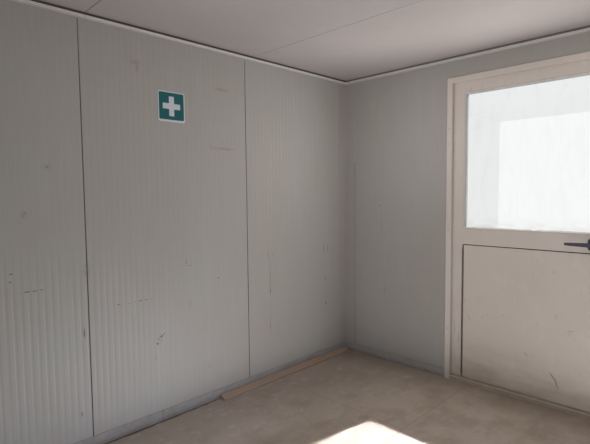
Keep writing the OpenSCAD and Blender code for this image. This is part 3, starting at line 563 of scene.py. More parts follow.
def lathe(profile, segments, wave=lambda level, angle: 1.0):
    rings = []
    for level, (radius, height) in enumerate(profile):
        angles = [2 * math.pi * i / segments for i in range(segments)]
        rings.append([(radius * wave(level, a) * math.cos(a), radius * wave(level, a) * math.sin(a), height)
                      for a in angles])
    return skin(rings)


# A section of (sideways, along the normal) points, swept along a flat path with mitred corners
def sweep(path, normal, section, closed=False, swell=(1.0,)):
    path, normal = [Vector(p) for p in path], Vector(normal).normalized()
    count = len(path)
    rings = []
    for i, point in enumerate(path):
        before = path[i] - path[i - 1] if i or closed else path[1] - path[0]
        after = path[(i + 1) % count] - path[i] if i < count - 1 or closed else before
        a, b = before.normalized().cross(normal), after.normalized().cross(normal)
        side = (a + b).normalized()
        side /= side.dot(a)
        grow = swell[i % len(swell)]
        rings.append([point + side * (s * grow) + normal * (h * grow) for s, h in section])
    return skin(rings, closed)


# A thin stroke along a path of (across, up) points, tapered at both ends
def stroke(path, width, thick=0.12 * mm):
    path = [Vector((x, y, 0)) for x, y in path]
    last = len(path) - 1
    up = Vector((0, 0, thick))
    rings = []
    for i, point in enumerate(path):
        along = (path[min(i + 1, last)] - path[max(i - 1, 0)]).normalized()
        side = Vector((-along.y, along.x, 0)) * width / 2 * (0.25 if i in (0, last) else 1.0)
        rings.append((point + side - up, point - side - up, point - side + up, point + side + up))
    return skin(rings)


def placed(shape, matrix):
    points, faces = shape
    return [tuple(matrix @ Vector(p)) for p in points], faces


def joined(shapes):
    points, faces = [], []
    for more, their in shapes:
        start = len(points)
        points.extend(more)
        faces.extend(tuple(i + start for i in face) for face in their)
    return points, faces


# A frame at a point, its Z along the normal, its Y as near to up as can be
def facing(point, normal, spin=0.0):
    z = Vector(normal).normalized()
    x = Vector(outward if abs(z.z) > 0.9 else upward).cross(z).normalized()
    turn = Matrix((x, z.cross(x), z)).transposed().to_4x4()
    return Matrix.Translation(point) @ turn @ Matrix.Rotation(spin, 4, "Z")


# A flat plate on a face, from one corner to the other in (across, up)
def plate(place, x0, x1, y0, y1, thick, bevel=0.0):
    return placed(prism(rectangle(x0, x1, y0, y1), thick, bevel), place)


def slab(x0, x1, y0, y1, z0, z1):
    return plate(Matrix.Translation((0, 0, z0)), x0, x1, y0, y1, z1 - z0)


# A piece in a material, which is also its slot unless another is named
def makePiece(name, shape, material, body="cabin", smooth=False):
    mesh = bpy.data.meshes.new(name)
    mesh.from_pydata(shape[0], [], shape[1])
    mesh.validate()
    solid = bmesh.new()
    solid.from_mesh(mesh)
    bmesh.ops.recalc_face_normals(solid, faces=solid.faces)
    solid.to_mesh(mesh)
    solid.free()
    mesh.update()
    piece = bpy.data.objects.new(name, mesh)
    bpy.context.scene.collection.objects.link(piece)
    mesh.materials.append(materials[material])
    if smooth:
        mesh.shade_smooth()
        mesh.set_sharp_from_angle(angle=math.radians(32))
    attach(piece, body)
    return piece


def spaced(start, end, pitch):
    start, end = Vector(start), Vector(end)
    count = max(1, round((end - start).length / pitch))
    return [start.lerp(end, i / count) for i in range(count + 1)]


# Screw heads: a washer flange and a drive; the cross recess is a pinched hollow
def crossHead(diameter, height):
    r = diameter / 2
    def pinch(level, angle):
        return 0.35 + 0.65 * abs(math.cos(2 * angle)) ** 6 if level >= 5 else 1.0
    return lathe([(r * 0.98, 0.0), (r, height * 0.25), (r * 0.86, height * 0.7),
                  (r * 0.6, height * 0.95), (r * 0.56, height), (r * 0.55, height),
                  (r * 0.3, height * 0.45), (r * 0.05, height * 0.4)], 24, pinch)


def hexHead(across, flange, height):
    washer = lathe([(flange / 2, 0.0), (flange / 2, height * 0.12), (flange * 0.47, height * 0.2),
                    (across * 0.5, height * 0.24)], 24)
    r = across / math.sqrt(3)
    bolt = [(r * math.cos(math.pi * i / 3), r * math.sin(math.pi * i / 3)) for i in range(6)]
    return joined([washer, placed(prism(bolt, height * 0.8, height * 0.12),
                                  Matrix.Translation((0, 0, height * 0.2)))])


def rivetHead(d, h):
    return lathe([(d / 2, 0.0), (d / 2, h * 0.4), (d * 0.34, h * 0.9), (d * 0.17, h),
                  (d * 0.16, h * 0.7)], 20)


# Heads at spots of (point, normal), each turned at random
def placeHeads(name, head, spots, seed, body="cabin", material="zincPlate"):
    turn = random.Random(seed)
    shapes = [placed(head, facing(point, normal, turn.uniform(0, math.pi / 2))) for point, normal in spots]
    makePiece(name, joined(shapes), material, body, smooth=True)


# A spot and its mirror image across the room
def bothSides(point, normal):
    x, y, z = point
    return [((x, y, z), normal), ((-x, y, z), (-normal[0], normal[1], normal[2]))]


# First-aid sign: the white border and cross printed on the plate
signPrint = {"thick": 0.3, "margin": 0.4, "plateCorner": 13.6, "side": 8, "top": 8, "foot": 14, "corner": 9,
             "cross": 122, "arm": 35}


def makeSignPrint():
    low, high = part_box("first_aid_sign")
    half = (high.z - low.z) / 2
    s = metres(signPrint)

    def rounded(x, foot, top, r):
        out = []
        for cx, cy, start in ((x - r, top - r, 0), (r - x, top - r, 90),
                              (r - x, foot + r, 180), (x - r, foot + r, 270)):
            for step in range(9):
                a = math.radians(start + step * 90 / 8)
                out.append((cx + r * math.cos(a), cy + r * math.sin(a)))
        return out
    full = half - s.margin
    border = band(rounded(full, -full, full, s.plateCorner),
                  rounded(half - s.side, s.foot - half, half - s.top, s.corner), s.thick)
    a, c = s.arm / 2, s.cross / 2
    lift = (s.foot - s.top) / 2
    cross = [(a, a), (a, c), (-a, c), (-a, a), (-c, a), (-c, -a), (-a, -a), (-a, -c),
             (a, -c), (a, -a), (c, -a), (c, a)]
    crossShape = prism([(x, y + lift) for x, y in cross], s.thick)
    where = facing((high.x, (low.y + high.y) / 2, (low.z + high.z) / 2), toRight)
    printed = placed(joined([border, crossShape]), where)
    makePiece("signBorderAndCross", printed, "signWhite")


makeSignPrint()
print("stage 4: sign")


# Blind rivets along the floor track, the ceiling trim and the corner angles
fixings = {
    "trackPitch": 400, "trackHeight": 36, "trackHead": (9, 1.8), "trackEnds": (160, 120),
    "doorEnds": (120, 80), "trimPitch": 500, "trimHead": (6, 1.2), "trimEnds": 120, "trimDoorEnds": 200,
    "angleBack": 78, "anglePitch": 420, "angleHead": (7.5, 1.8), "angleEnds": 150,
}


def makeFixings():
    s = metres(fixings)
    spots = []
    x, z = trackHigh.x, trackLow.z + s.trackHeight
    near, far = s.trackEnds
    for point in spaced((x, cadLow.y + near, z), (x, doorWallY - far, z), s.trackPitch):
        spots += bothSides(point, toRight)
    y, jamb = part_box("floor_track_door")[0].y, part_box("frame_jamb_hinge")[0].x
    near, far = s.doorEnds
    for point in spaced((x + near, y, z), (jamb - far, y, z), s.trackPitch):
        spots += bothSides(point, inward)
    placeHeads("trackRivets", rivetHead(*s.trackHead), spots, 3, material="galvanised")

    spots = []
    low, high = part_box("corner_angles")
    for point in spaced((0, 0, low.z + s.angleEnds), (0, 0, high.z - s.angleEnds), s.anglePitch):
        for side in (-1, 1):
            spots.append(((side * (high.x - angleThick), doorWallY - s.angleBack, point.z), (-side, 0, 0)))
            spots.append(((side * (high.x - s.angleBack), doorWallY - angleThick, point.z), inward))
    placeHeads("cornerRivets", rivetHead(*s.angleHead), spots, 4, material="cornerSheet")

    spots = []
    x, z = wallX + trimOut, (trimLow.z + trimHigh.z) / 2
    for point in spaced((x, cadLow.y + s.trimEnds, z), (x, doorWallY - s.trimEnds, z), s.trimPitch):
        spots += bothSides(point, toRight)
    x, y = wallX + s.trimDoorEnds, doorWallY - trimOut
    spots += [(point, inward) for point in spaced((x, y, z), (-x, y, z), s.trimPitch)]
    placeHeads("trimRivets", rivetHead(*s.trimHead), spots, 5, material="trim_sheet")


makeFixings()
print("stage 5: fixings")


# Sealed glass unit: two panes with arrised edges, a pale spacer bar and the edge seal; gaskets
# at the beads and the dark joint line round them
glassUnit = {"pane": 4, "arris": 0.5, "spacerIn": 4.5, "spacerWide": 6.5, "sealOut": 1,
             "beadWide": 10, "gasket": 2, "joint": 0.4, "jointRise": 0.15}


def makeGlassUnit():
    low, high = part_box("leaf_glass")
    s = metres(glassUnit)
    centre = (low + high) / 2
    wide, tall = (high.x - low.x) / 2, (high.z - low.z) / 2

    def board(margin):
        return rectangle(margin - wide, wide - margin, margin - tall, tall - margin)
    pane = prism(board(0), s.pane, s.arris)
    inner, back = low.y + s.pane, high.y - s.pane
    shapes = [placed(pane, facing((centre.x, y, centre.z), normal))
              for y, normal in ((inner, inward), (back, outward))]
    panes = makePiece("glassPanes", joined(shapes), "glass", "door_leaf")
    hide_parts("leaf_glass")
    where = facing((centre.x, back, centre.z), inward)
    spacer = band(board(s.spacerIn), board(s.spacerIn + s.spacerWide), back - inner)
    makePiece("glassSpacer", placed(spacer, where), "bead_pvc", "door_leaf")
    seal = band(board(s.sealOut), board(s.spacerIn), back - inner)
    makePiece("glassEdgeSeal", placed(seal, where), "butylTape", "door_leaf")

    beadLow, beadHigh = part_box("glazing_beads")

    def loops(margin, y0, y1, section):
        corners = rectangle(beadLow.x + margin, beadHigh.x - margin, beadLow.z + margin, beadHigh.z - margin)
        return joined([sweep([(x, y, z) for x, z in corners[::turn]], (0, -turn, 0), section, closed=True)
                       for y, turn in ((y0, 1), (y1, -1))])
    g, j, rise = s.gasket, s.joint, s.jointRise
    gaskets = loops(s.beadWide, low.y, high.y, [(0, 0), (-g, 0), (-g * 0.4, g), (0, g * 1.2)])
    makePiece("glassGaskets", gaskets, "bead_pvc", "door_leaf")
    lines = loops(0, beadLow.y, beadHigh.y, [(j, -rise), (-j, -rise), (-j, rise), (j, rise)])
    makePiece("beadJointLines", lines, "holeShadow", "door_leaf")


makeGlassUnit()
print("stage 6: glass unit")


# Marks on the walls, in mm across and up: drilled holes with the share of their size, rubbed
# strokes and faint smears as a width and points, and a row of rubbed dashes on the ribs
wallMarks = {
    "holes": (
        (350, 1887, 1.0), (241.5, 998, 1.4), (1371, 834, 2.0), (1376, 617, 2.0), (-825, 1731, 0.9),
        (-939, 1495, 0.9), (868, 402, 1.0), (894, 253, 0.9)),
    "doorWallHoles": (
        (-1152, 1467.5, 1.3), (-1435, 302, 1.0)),
    "strokes": (
        (6, (-1019, 1191), (-1013, 1191.5), (-1005, 1191)),
        (5, (-1025, 1151), (-1018, 1151), (-1011, 1152)),
        (4.5, (-960, 1090.5), (-944, 1091), (-929, 1090.5)),
        (4.5, (-924, 1090.5), (-911, 1090), (-897, 1089.8)),
        (4.5, (-885, 1090.7), (-877, 1091), (-868, 1090.3)), (7, (-478, 939), (-472.5, 939), (-466, 938.5)),
        (4.5, (-348, 938), (-335, 938.5), (-321, 938.5)), (4.5, (-310, 938), (-301, 938), (-291, 938)),
        (4.5, (-665.4, 838.5), (-672, 819), (-672, 806), (-669.4, 791.7)),
        (11, (-237, 646), (-230, 645), (-222, 643)), (11, (-209, 684), (-202, 687), (-194, 690)),
        (4, (-701.5, 373), (-701, 359), (-700, 344)), (6, (724.3, 845), (725.5, 825), (728.5, 803)),
        (4.5, (721.5, 565), (721.2, 548), (721.1, 530))),
    "faint": (
        (5, (-976, 1090), (-972, 1090.5), (-968, 1090)), (6, (-459, 938), (-454, 938), (-448, 938)),
        (5, (-413, 935), (-408, 935), (-402, 934.5)), (5, (-376, 936.5), (-370, 936), (-365, 936)),
        (5, (-267, 936), (-261, 936), (-256, 935.5)), (8, (-232, 672), (-222, 674), (-206, 683)),
        (8, (-196, 690), (-186, 698), (-174, 706)), (4, (-242.5, 570), (-242, 558), (-241.5, 545)),
        (5.5, (-9.7, 1157.6), (-10.5, 1137), (-11, 1117)), (4.5, (-11, 1115.5), (14, 1111), (40, 1107)),
        (5, (13.3, 881.4), (12, 856), (10.3, 831.6)), (5.5, (152, 416.4), (151, 397), (149.3, 376.9)),
        (6.5, (701.2, 1140.7), (703.5, 1105), (707.1, 1070.7)),
        (6.5, (762, 1123.1), (757, 1102), (750.8, 1081.4)),
        (4.5, (724.5, 1010.5), (725, 930), (724.5, 843)), (4.5, (724.4, 670.4), (723, 610), (721.5, 560)),
        (4, (721.1, 530), (721, 510), (721.1, 489.7)),
        (9, (1355.6, 1139.5), (1349, 1098), (1341.7, 1056.3)),
        (8, (1411.1, 1132.9), (1403, 1100), (1394.5, 1068.5))),
    "doorWallFaint": (
        (3, (-1134, 1429.5), (-1131, 1310), (-1128.5, 1199.5)),
        (4, (-1098, 790), (-1101, 748), (-1103, 703))),
    "holeWide": 5.5, "burrWide": 9, "burrRise": 0.5, "dashFrom": (204, 1890), "dashPitch": 35.5,
    "dashLong": 8, "dashWide": 2.1, "dashBow": 0.4, "dashStray": (1, 1.5),
}
dashCount = 6


def makeWallMarks():
    s = metres(wallMarks)
    onWall = facing((wallX, 0, 0), toRight)
    onDoorWall = facing((0, doorWallY, 0), inward)
    hole, burr, rise = s.holeWide / 2, s.burrWide / 2, s.burrRise

    def ragged(level, angle):
        return 1.0 + 0.06 * math.sin(3 * angle + level) + 0.04 * math.sin(7 * angle)
    ring = lathe([(burr, -rise), (burr * 0.94, rise * 0.5), (hole * 1.15, rise), (hole * 0.8, rise * 0.3)],
                 20, ragged)
    dark = lathe([(hole, -rise), (hole, rise * 0.9), (hole * 0.5, rise * 1.1), (hole * 0.1, rise * 1.12)],
                 16, ragged)
    turn = random.Random(7)
    places = []
    for base, key in ((onWall, "holes"), (onDoorWall, "doorWallHoles")):
        for x, up, size in wallMarks[key]:
            spin = Matrix.Rotation(turn.uniform(0, 6), 4, "Z")
            places.append(base @ Matrix.Translation((x * mm, up * mm, 0)) @ spin
                          @ Matrix.Diagonal((size, size, 1, 1)))
    makePiece("holeBurrs", joined([placed(ring, m) for m in places]), "wall_skin", smooth=True)
    makePiece("drilledHoles", joined([placed(dark, m) for m in places]), "holeShadow",
              smooth=True)

    shapes = []
    x, z = s.dashFrom
    across, up = s.dashStray
    for k in range(dashCount):
        half = s.dashLong * turn.uniform(0.6, 1.1) / 2
        y = x + k * s.dashPitch + turn.uniform(-across, across)
        high = z + turn.uniform(-up, up)
        shapes.append(stroke([(y - half, high), (y, high + s.dashBow), (y + half, high)], s.dashWide))
    shapes += [stroke(path, width) for width, *path in s.faint]
    shapes = [placed(shape, onWall) for shape in shapes]
    shapes += [placed(stroke(path, width), onDoorWall) for width, *path in s.doorWallFaint]
    makePiece("wallSmears", joined(shapes), "faintMark")
    shapes = [placed(stroke(path, width), onWall) for width, *path in s.strokes]
    makePiece("wallScuffs", joined(shapes), "rubbedMark")


# Marks on the door's infill, in mm across and up: strokes, and dots with their radii and heights
doorMarks = {
    "strokes": (
        (3, (-386, 664), (-374, 640), (-355, 606)), (3.5, (270, 662), (292, 672), (318, 676)),
        (11, (180, 372), (192.3, 354.6), (213.8, 330.1), (223.4, 299.1), (232, 272)),
        (6, (12, 470), (30, 462), (45, 446)), (5, (-452, 520), (-455, 470), (-452, 410)),
        (4, (-487, 600), (-485, 540), (-480, 490))),
    "dots": (
        (-239, 684), (-126, 704), (-272, 663)),
    "dot": ((3.5, -0.1), (3.15, 0.2), (1.4, 0.35), (0.35, 0.36)),
}


def makeDoorMarks():
    s = metres(doorMarks)
    onDoor = facing((0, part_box("leaf_infill")[0].y, 0), inward)
    shapes = [placed(stroke(path, width), onDoor) for width, *path in s.strokes]
    makePiece("infillScratches", joined(shapes), "doorScuff", "door_leaf")
    dot = lathe(s.dot, 14, lambda level, angle: 1.0 + 0.12 * math.sin(2 * angle + 1))
    shapes = [placed(dot, onDoor @ Matrix.Translation((x, z, 0))) for x, z in s.dots]
    makePiece("infillDots", joined(shapes), "doorScuff", "door_leaf", smooth=True)


# Dark liner in the groove round the lower infill, a gasket and painted shade in the groove, a dark line on the
# stile beside it, dust trodden into the joints of the floor sheets, and a dark strip on the floor along the
# left track
liner = {"wide": 6.5, "deep": 8, "thick": 1.6, "grime": 7.5, "grimeOff": 0.4, "grimeStray": 0.8}
floorMarks = {"sheet": (1220, 2440), "first": (1160, 905), "jointWide": 2.9, "jointEnds": 1,
             "down": 0.7, "thick": 1.5, "edgeFrom": 10, "edgeStep": 45, "edgeWide": (7, 20),
             "edgeThick": 0.4, "edgeSunk": 0.1}
darkLineSteps = 24
edgeSteps = 45


def makeLiner():
    s = metres(liner)
    low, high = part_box("leaf_infill")
    y = low.y + s.deep
    corners = [(high.x, low.z), (high.x, high.z), (low.x, high.z), (low.x, low.z)]
    # A gasket in the hole-shadow finish laid 8 mm down in the groove, which also darkens the groove as painted
    # shade
    strip = sweep([(x, y, z) for x, z in corners], inward,
                  [(0, 0), (-s.wide, 0), (-s.wide, s.thick), (0, s.thick)])
    makePiece("infillGasketAndShade", strip, "holeShadow", "door_leaf")
    # A dark line on the stile along the left edge of the groove, wavering a little
    turn = random.Random(17)
    x, stray = low.x - s.grimeOff - s.grime / 2, s.grimeStray
    path = [(x + turn.uniform(-stray, stray), low.z + i * (high.z - low.z) / darkLineSteps)
            for i in range(darkLineSteps + 1)]
    grime = placed(stroke(path, s.grime), facing((0, low.y, 0), inward))
    makePiece("stileDarkLine", grime, "rubbedMark", "door_leaf")


def makeFloorMarks():
    s = metres(floorMarks)
    low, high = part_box("floor_boards")
    turn = random.Random(19)
    # A dark strip of ragged width on the floor along the foot of the left track
    ys = [low.y + s.edgeFrom + i * s.edgeStep for i in range(edgeSteps)]
    rim = [(trackHigh.x + turn.uniform(*s.edgeWide), y) for y in ys]
    outline = rim[::-1] + [(trackHigh.x, y) for y in ys]
    makePiece("floorEdgeDarkStrip", placed(prism(outline, s.edgeThick),
                                      Matrix.Translation((0, 0, high.z - s.edgeSunk))),
              "rubbedMark")
    w, end = s.jointWide / 2, s.jointEnds
    top = high.z - s.down
    strips = []
    for k in range(2):
        x = wallX + s.first[0] + k * s.sheet[0]
        y = doorWallY - s.first[1] - k * s.sheet[1]
        strips.append(slab(x - w, x + w, low.y + end, high.y - end, top - s.thick, top))
        strips.append(slab(low.x + end, high.x - end, y - w, y + w, top - s.thick, top))
    makePiece("floorJointDust", joined(strips), "butylTape")


makeWallMarks()
makeDoorMarks()
makeLiner()
makeFloorMarks()
print("stage 7: marks on the walls, the door and the floor")


# Sealing: silicone round the door frame, lip above the ceiling trim and tape in the gap over it, which also
# darkens the gap as painted shade, strips in the joints of the panels and dirt along the top of the floor track
sealing = {
    "bead": 5, "beadStep": 60, "overFrame": 0.6, "underWall": 0.3, "lipTall": 5.5, "lipBack": 0.6,
    "lipBevel": 0.8, "tapeThick": 10, "tapeGap": 0.5, "stripWide": 3.8, "stripIn": 1.4, "stripThick": 2,
    "stripDown": 20, "ceilingIn": 0.9, "dirtTall": 2.4, "dirtBack": 0.2, "dirtUp": 0.1,
}


def makeFrameSealant():
    s = metres(sealing)
    left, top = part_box("frame_jamb_hinge")[0].x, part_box("frame_head")[1].z
    b, over, under = s.bead, s.overFrame, s.underWall
    turn = random.Random(11)
    swell = [turn.uniform(0.85, 1.15) for _ in range(97)]      # how wide the bead is from step to step

    def around(y, foot):
        corners = [(left, y, foot), (left, y, top), (-left, y, top), (-left, y, foot)]
        path = []
        for start, end in zip(corners, corners[1:]):
            path += spaced(start, end, s.beadStep)[:-1]
        return path + corners[-1:]
    section = [(over, -under), (-b, -under), (-b * 0.62, b * 0.2), (-b * 0.25, b * 0.45), (over, b * 0.7)]
    inner = sweep(around(doorWallY, trackHigh.z), inward, section, swell=swell)
    outer = sweep(around(outY, floorTop), outward, [(-x, h) for x, h in section], swell=swell)
    makePiece("frameSealant", joined([inner, outer]), "silicone", smooth=True)


def makeSealing():
    s = metres(sealing)
    run = [(wallX, openEnd), (wallX, doorWallY), (-wallX, doorWallY), (-wallX, openEnd)]

    def along(path, z, section):
        return sweep([(x, y, z) for x, y in path], upward, section)
    lip, tall, bevel = trimOut - s.lipBack, s.lipTall, s.lipBevel
    makePiece("ceilingTrimLip", along(run, trimHigh.z, [(0, 0), (lip, 0), (lip, tall - bevel),
                                                        (lip - bevel, tall), (0, tall)]), "trim_sheet")
    foot = trimHigh.z + tall
    # The tape is sealing tape and painted shade in the gap above the trim; on the side walls it is in the dark
    # mark finish
    t, low, high = s.tapeThick, s.tapeGap, ceilingZ - foot - s.tapeGap
    section = [(0, low), (t, low), (t * 0.7, (low + high) / 2), (t, high), (0, high)]
    makePiece("sideGapTapeAndShade", joined([along(run[:2], foot, section), along(run[2:], foot, section)]),
              "rubbedMark")
    makePiece("doorGapTapeAndShade", along([(wallX + t, doorWallY), (-wallX - t, doorWallY)], foot, section),
              "butylTape")

    w, deep, thick = s.stripWide / 2, s.stripIn, s.stripThick
    strips = []
    for name in ("left_panel_1", "left_panel_2"):
        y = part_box(name)[0].y
        for x in (wallX - deep - thick, deep - wallX):
            strips.append(slab(x, x + thick, y - w, y + w, trackHigh.z, ceilingZ - s.stripDown))
    makePiece("jointStrips", joined(strips), "jointSeal")
    z = ceilingZ + s.ceilingIn
    strips = [slab(wallX, -wallX, y - w, y + w, z, z + thick)
              for y in (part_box("roof_panel_1")[0].y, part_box("roof_panel_2")[0].y)]
    makePiece("ceilingJointStrips", joined(strips), "silicone")

    out, up, tall = trackHigh.x - wallX - s.dirtBack, s.dirtUp, s.dirtTall
    edge = run[:2] + [(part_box("frame_jamb_hinge")[0].x - 2 * s.bead, doorWallY)]
    line = along(edge, trackHigh.z, [(0, up), (out, up), (out * 0.3, tall), (0, tall)])
    makePiece("trackTopDirt", joined([line, placed(line, Matrix.Diagonal((-1, 1, 1, 1)))]), "butylTape")


# The hem of the corner angles in the white trim finish as a painted highlight, and a painted shadow line on the
# wall beside it
angleEdge = {"hemWide": 3, "hemRise": 0.5, "grimeWide": 7, "grimeTop": 1850, "grimeRise": 0.4}


def makeAngleEdges():
    s = metres(angleEdge)
    low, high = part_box("corner_angles")
    w, rise, g = s.hemWide / 2, s.hemRise, s.grimeWide / 2
    half = (high.z - low.z) / 2
    hems, grime = [], []
    for side in (-1, 1):
        x = side * (-wallX - (high.y - low.y))
        # The hem, lighter than the angle as a painted highlight
        where = facing((x + side * w, doorWallY - angleThick, low.z + half), inward)
        hems.append(plate(where, -w, w, -half, half, rise, rise * 0.4))
        # A painted shadow line on the door wall beside the hem
        where = facing((x - side * g, doorWallY, low.z), inward)
        grime.append(plate(where, -g, g, 0, s.grimeTop - low.z, s.grimeRise))
    makePiece("angleHemsAndHighlight", joined(hems), "trim_sheet")
    makePiece("angleShadowLine", joined(grime), "faintMark")


# Sleeves where two lengths of trim or track meet, with the dark line of the joint
laps = {"trimAt": 237, "trimBevel": 4, "trimIn": 2, "trackAt": (607, -210), "sleeveLong": 34,
        "sleeveTall": 60, "sheet": 0.7, "line": 2.2, "lineTall": 66, "lineRise": 0.3}


def makeLaps():
    s = metres(laps)
    t, half, line = s.sheet, s.sleeveLong / 2, s.line / 2
    x, b, back = wallX + trimOut, s.trimBevel, wallX + s.trimIn
    foot, top = trimLow.z, trimHigh.z + sealing["lipTall"] * mm
    around = [(back, foot), (x - b, foot), (x, foot + b), (x, top - b), (x - b, top), (back, top)]
    sleeve = sweep([(px, s.trimAt - half, pz) for px, pz in around], outward,
                   [(0, 0), (-t, 0), (-t, 2 * half), (0, 2 * half)])
    makePiece("trimSleeve", sleeve, "trim_sheet")

    sleeves, lines = [], []
    z = (trackLow.z + trackHigh.z) / 2
    for y in s.trackAt:
        where = facing((trackHigh.x, y - half, z), toRight)
        sleeves.append(plate(where, -half, half, -s.sleeveTall / 2, s.sleeveTall / 2, t, t * 0.3))
        where = facing((trackHigh.x, y + line, z), toRight)
        lines.append(plate(where, -line, line, -s.lineTall / 2, s.lineTall / 2, s.lineRise))
    makePiece("trackSleeves", joined(sleeves), "galvanised")
    makePiece("trackJointLines", joined(lines), "holeShadow")


makeFrameSealant()
makeSealing()
makeAngleEdges()
makeLaps()
print("stage 8: sealing and laps")


# Small parts of the door: frame, hinge and plate screws
doorScrews = {
    "frameAt": (533.5, 1292, 2050), "frameHead": (8, 1.6), "hingeHead": (8, 1.6), "hingeFace": 8,
    "leafIn": (10, 22), "frameIn": 8, "plateHead": (7, 1.0), "plateEnd": 11,
}


def makeDoorScrews():
    s = metres(doorScrews)
    low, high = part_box("frame_jamb_hinge")
    spots = []
    for z in s.frameAt:
        spots += bothSides(((low.x + high.x) / 2, low.y, z), inward)
    placeHeads("frameScrews", crossHead(*s.frameHead), spots, 8)

    low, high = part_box("hinge_leaf_halves")
    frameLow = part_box("hinge_frame_halves")[0]
    half = low.z - frameLow.z                     # height of one knuckle with its gap
    rise = (high.z - low.z - half) / 2            # from one hinge to the next
    y, (edge, middle) = outY + s.hingeFace, s.leafIn
    leafSpots, frameSpots = [], []
    for k in range(3):
        top, bottom = low.z + k * rise, frameLow.z + k * rise
        for share in (0.25, 0.75):
            leafSpots.append(((high.x - edge, y, top + share * half), outward))
            frameSpots.append(((frameLow.x + s.frameIn, y, bottom + share * half), outward))
        leafSpots.append(((high.x - middle, y, top + 0.5 * half), outward))
    head = crossHead(*s.hingeHead)
    placeHeads("hingeLeafScrews", head, leafSpots, 9, "door_leaf")
    placeHeads("hingeFrameScrews", head, frameSpots, 10)

    head = crossHead(*s.plateHead)
    for name, node, body, side in (("faceplateScrews", "lock_faceplate", "door_leaf", 1),
                                   ("strikeScrews", "strike_plate", "cabin", -1)):
        low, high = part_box(node)
        x, y = (high if side > 0 else low).x, (low.y + high.y) / 2
        spots = [((x, y, z), (side, 0, 0)) for z in (low.z + s.plateEnd, high.z - s.plateEnd)]
        placeHeads(name, head, spots, 12, body)


# Latch bolt, rings and screws of the roses, and the cylinder's face with its plug and key slot
lockParts = {"latch": (14, 26, 5), "latchLip": 2, "latchBack": 0.6, "latchBevel": 0.8, "neck": 18,
             "neckGap": 0.3, "ringWide": 3.5, "ringRise": 1.6, "ringBevel": 1.2, "sunk": 0.2,
             "roseHead": (5.5, 0.9), "roseEnd": 8, "collar": (2.4, 1.6, 1), "plugWide": 11,
             "faceRise": 0.1, "plugRise": (0.3, 0.32), "slot": (2.6, 8.5), "slotRise": 0.45}


def makeLockParts():
    s = metres(lockParts)
    roseLow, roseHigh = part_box("handle_roses")
    axis = (roseLow + roseHigh) / 2
    low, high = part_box("lock_faceplate")
    wide, tall, out = s.latch
    latch = [(-wide / 2, 0), (wide / 2, 0), (wide / 2, out), (wide / 2 - s.latchLip, out),
             (-wide / 2, s.latchBack)]
    turn = Matrix.Translation((high.x, (low.y + high.y) / 2, axis.z - tall / 2)) @ Matrix.Rotation(
        -math.pi / 2, 4, "Z")
    bolt = placed(prism(latch, tall, s.latchBevel), turn)
    makePiece("latchBolt", bolt, "lock_nickel", "door_leaf")

    foot, sunk = s.neck / 2 + s.neckGap, -s.sunk
    edge, h = s.neck / 2 + s.ringWide, s.ringRise
    ring = lathe([(foot, sunk), (edge, sunk), (edge, h * 0.5), (edge - s.ringBevel, h), (foot, h)], 40)
    sides = ((roseLow.y, inward), (roseHigh.y, outward))
    rings = [placed(ring, facing((axis.x, y, axis.z), normal)) for y, normal in sides]
    makePiece("roseRings", joined(rings), "lock_nickel", "door_leaf", smooth=True)
    ends = (roseHigh.z - s.roseEnd, roseLow.z + s.roseEnd)
    spots = [((axis.x, y, z), normal) for y, normal in sides for z in ends]
    placeHeads("roseScrews", crossHead(*s.roseHead), spots, 13, "door_leaf",
               "handle_metal")

    low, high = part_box("lock_cylinder")
    r, rise, wide = s.plugWide / 2, s.faceRise, high.x - low.x
    back, rim, inner = s.collar
    edge, crown = s.plugRise
    face = lathe([(wide * 0.62, -back), (wide * 0.62, -rim), (wide * 0.5, -inner), (wide * 0.5, rise),
                  (r * 1.12, rise), (r * 1.08, sunk), (r, sunk), (r, edge), (r * 0.1, crown)], 36)
    a, b = s.slot[0] / 2, s.slot[1] / 2
    slot = prism([(-a, -b), (a, -b), (a, 0), (a * 0.4, b * 0.2), (a, b * 0.5), (a, b), (-a, b)],
                 s.slotRise)
    places = [facing(((low.x + high.x) / 2, y, (low.z + high.z) / 2), normal)
              for y, normal in ((low.y, inward), (high.y, outward))]
    makePiece("cylinderPlugs", joined([placed(face, place) for place in places]), "lock_nickel", "door_leaf",
              smooth=True)
    makePiece("keySlots", joined([placed(slot, place) for place in places]), "holeShadow", "door_leaf")


# Aluminium drip rail outside along the foot of the leaf
dripRail = {"margin": 22, "up": 26, "tall": 24, "out": 16, "drop": 4, "lip": 1, "flange": 2, "web": 3,
            "head": (6, 1.4), "screwIn": 40}
dripScrewGaps = 5


def makeDripRail():
    s = metres(dripRail)
    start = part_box("leaf_stile_hinge")[0]
    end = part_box("leaf_stile_lock")[1]
    z, out, t = start.z + s.up, s.out, s.flange
    outline = [(0, 0), (out - t, -s.drop), (out, -t), (out, s.lip), (s.web, s.tall * 0.55),
               (t, s.tall), (0, s.tall)]
    x0, x1 = start.x + s.margin, end.x - s.margin
    turn = Matrix(((0, 0, 1, x0), (1, 0, 0, end.y), (0, 1, 0, z), (0, 0, 0, 1)))
    makePiece("dripRail", placed(prism(outline, x1 - x0), turn), "sill_aluminium", "door_leaf")
    y, z, edge = end.y + t, z + s.tall * 0.82, s.screwIn
    spots = [(point, outward) for point in
             spaced((x0 + edge, y, z), (x1 - edge, y, z), (x1 - x0) / dripScrewGaps)]
    placeHeads("dripRailScrews", crossHead(*s.head), spots, 14, "door_leaf")


makeDoorScrews()
makeLockParts()
makeDripRail()
print("stage 9: small parts of the door")


# Foam where the last panels end, ready for the next bay
foam = {"thick": 0.8, "fold": 12, "grooveDeep": 16, "grooveWide": 27, "ends": 1}


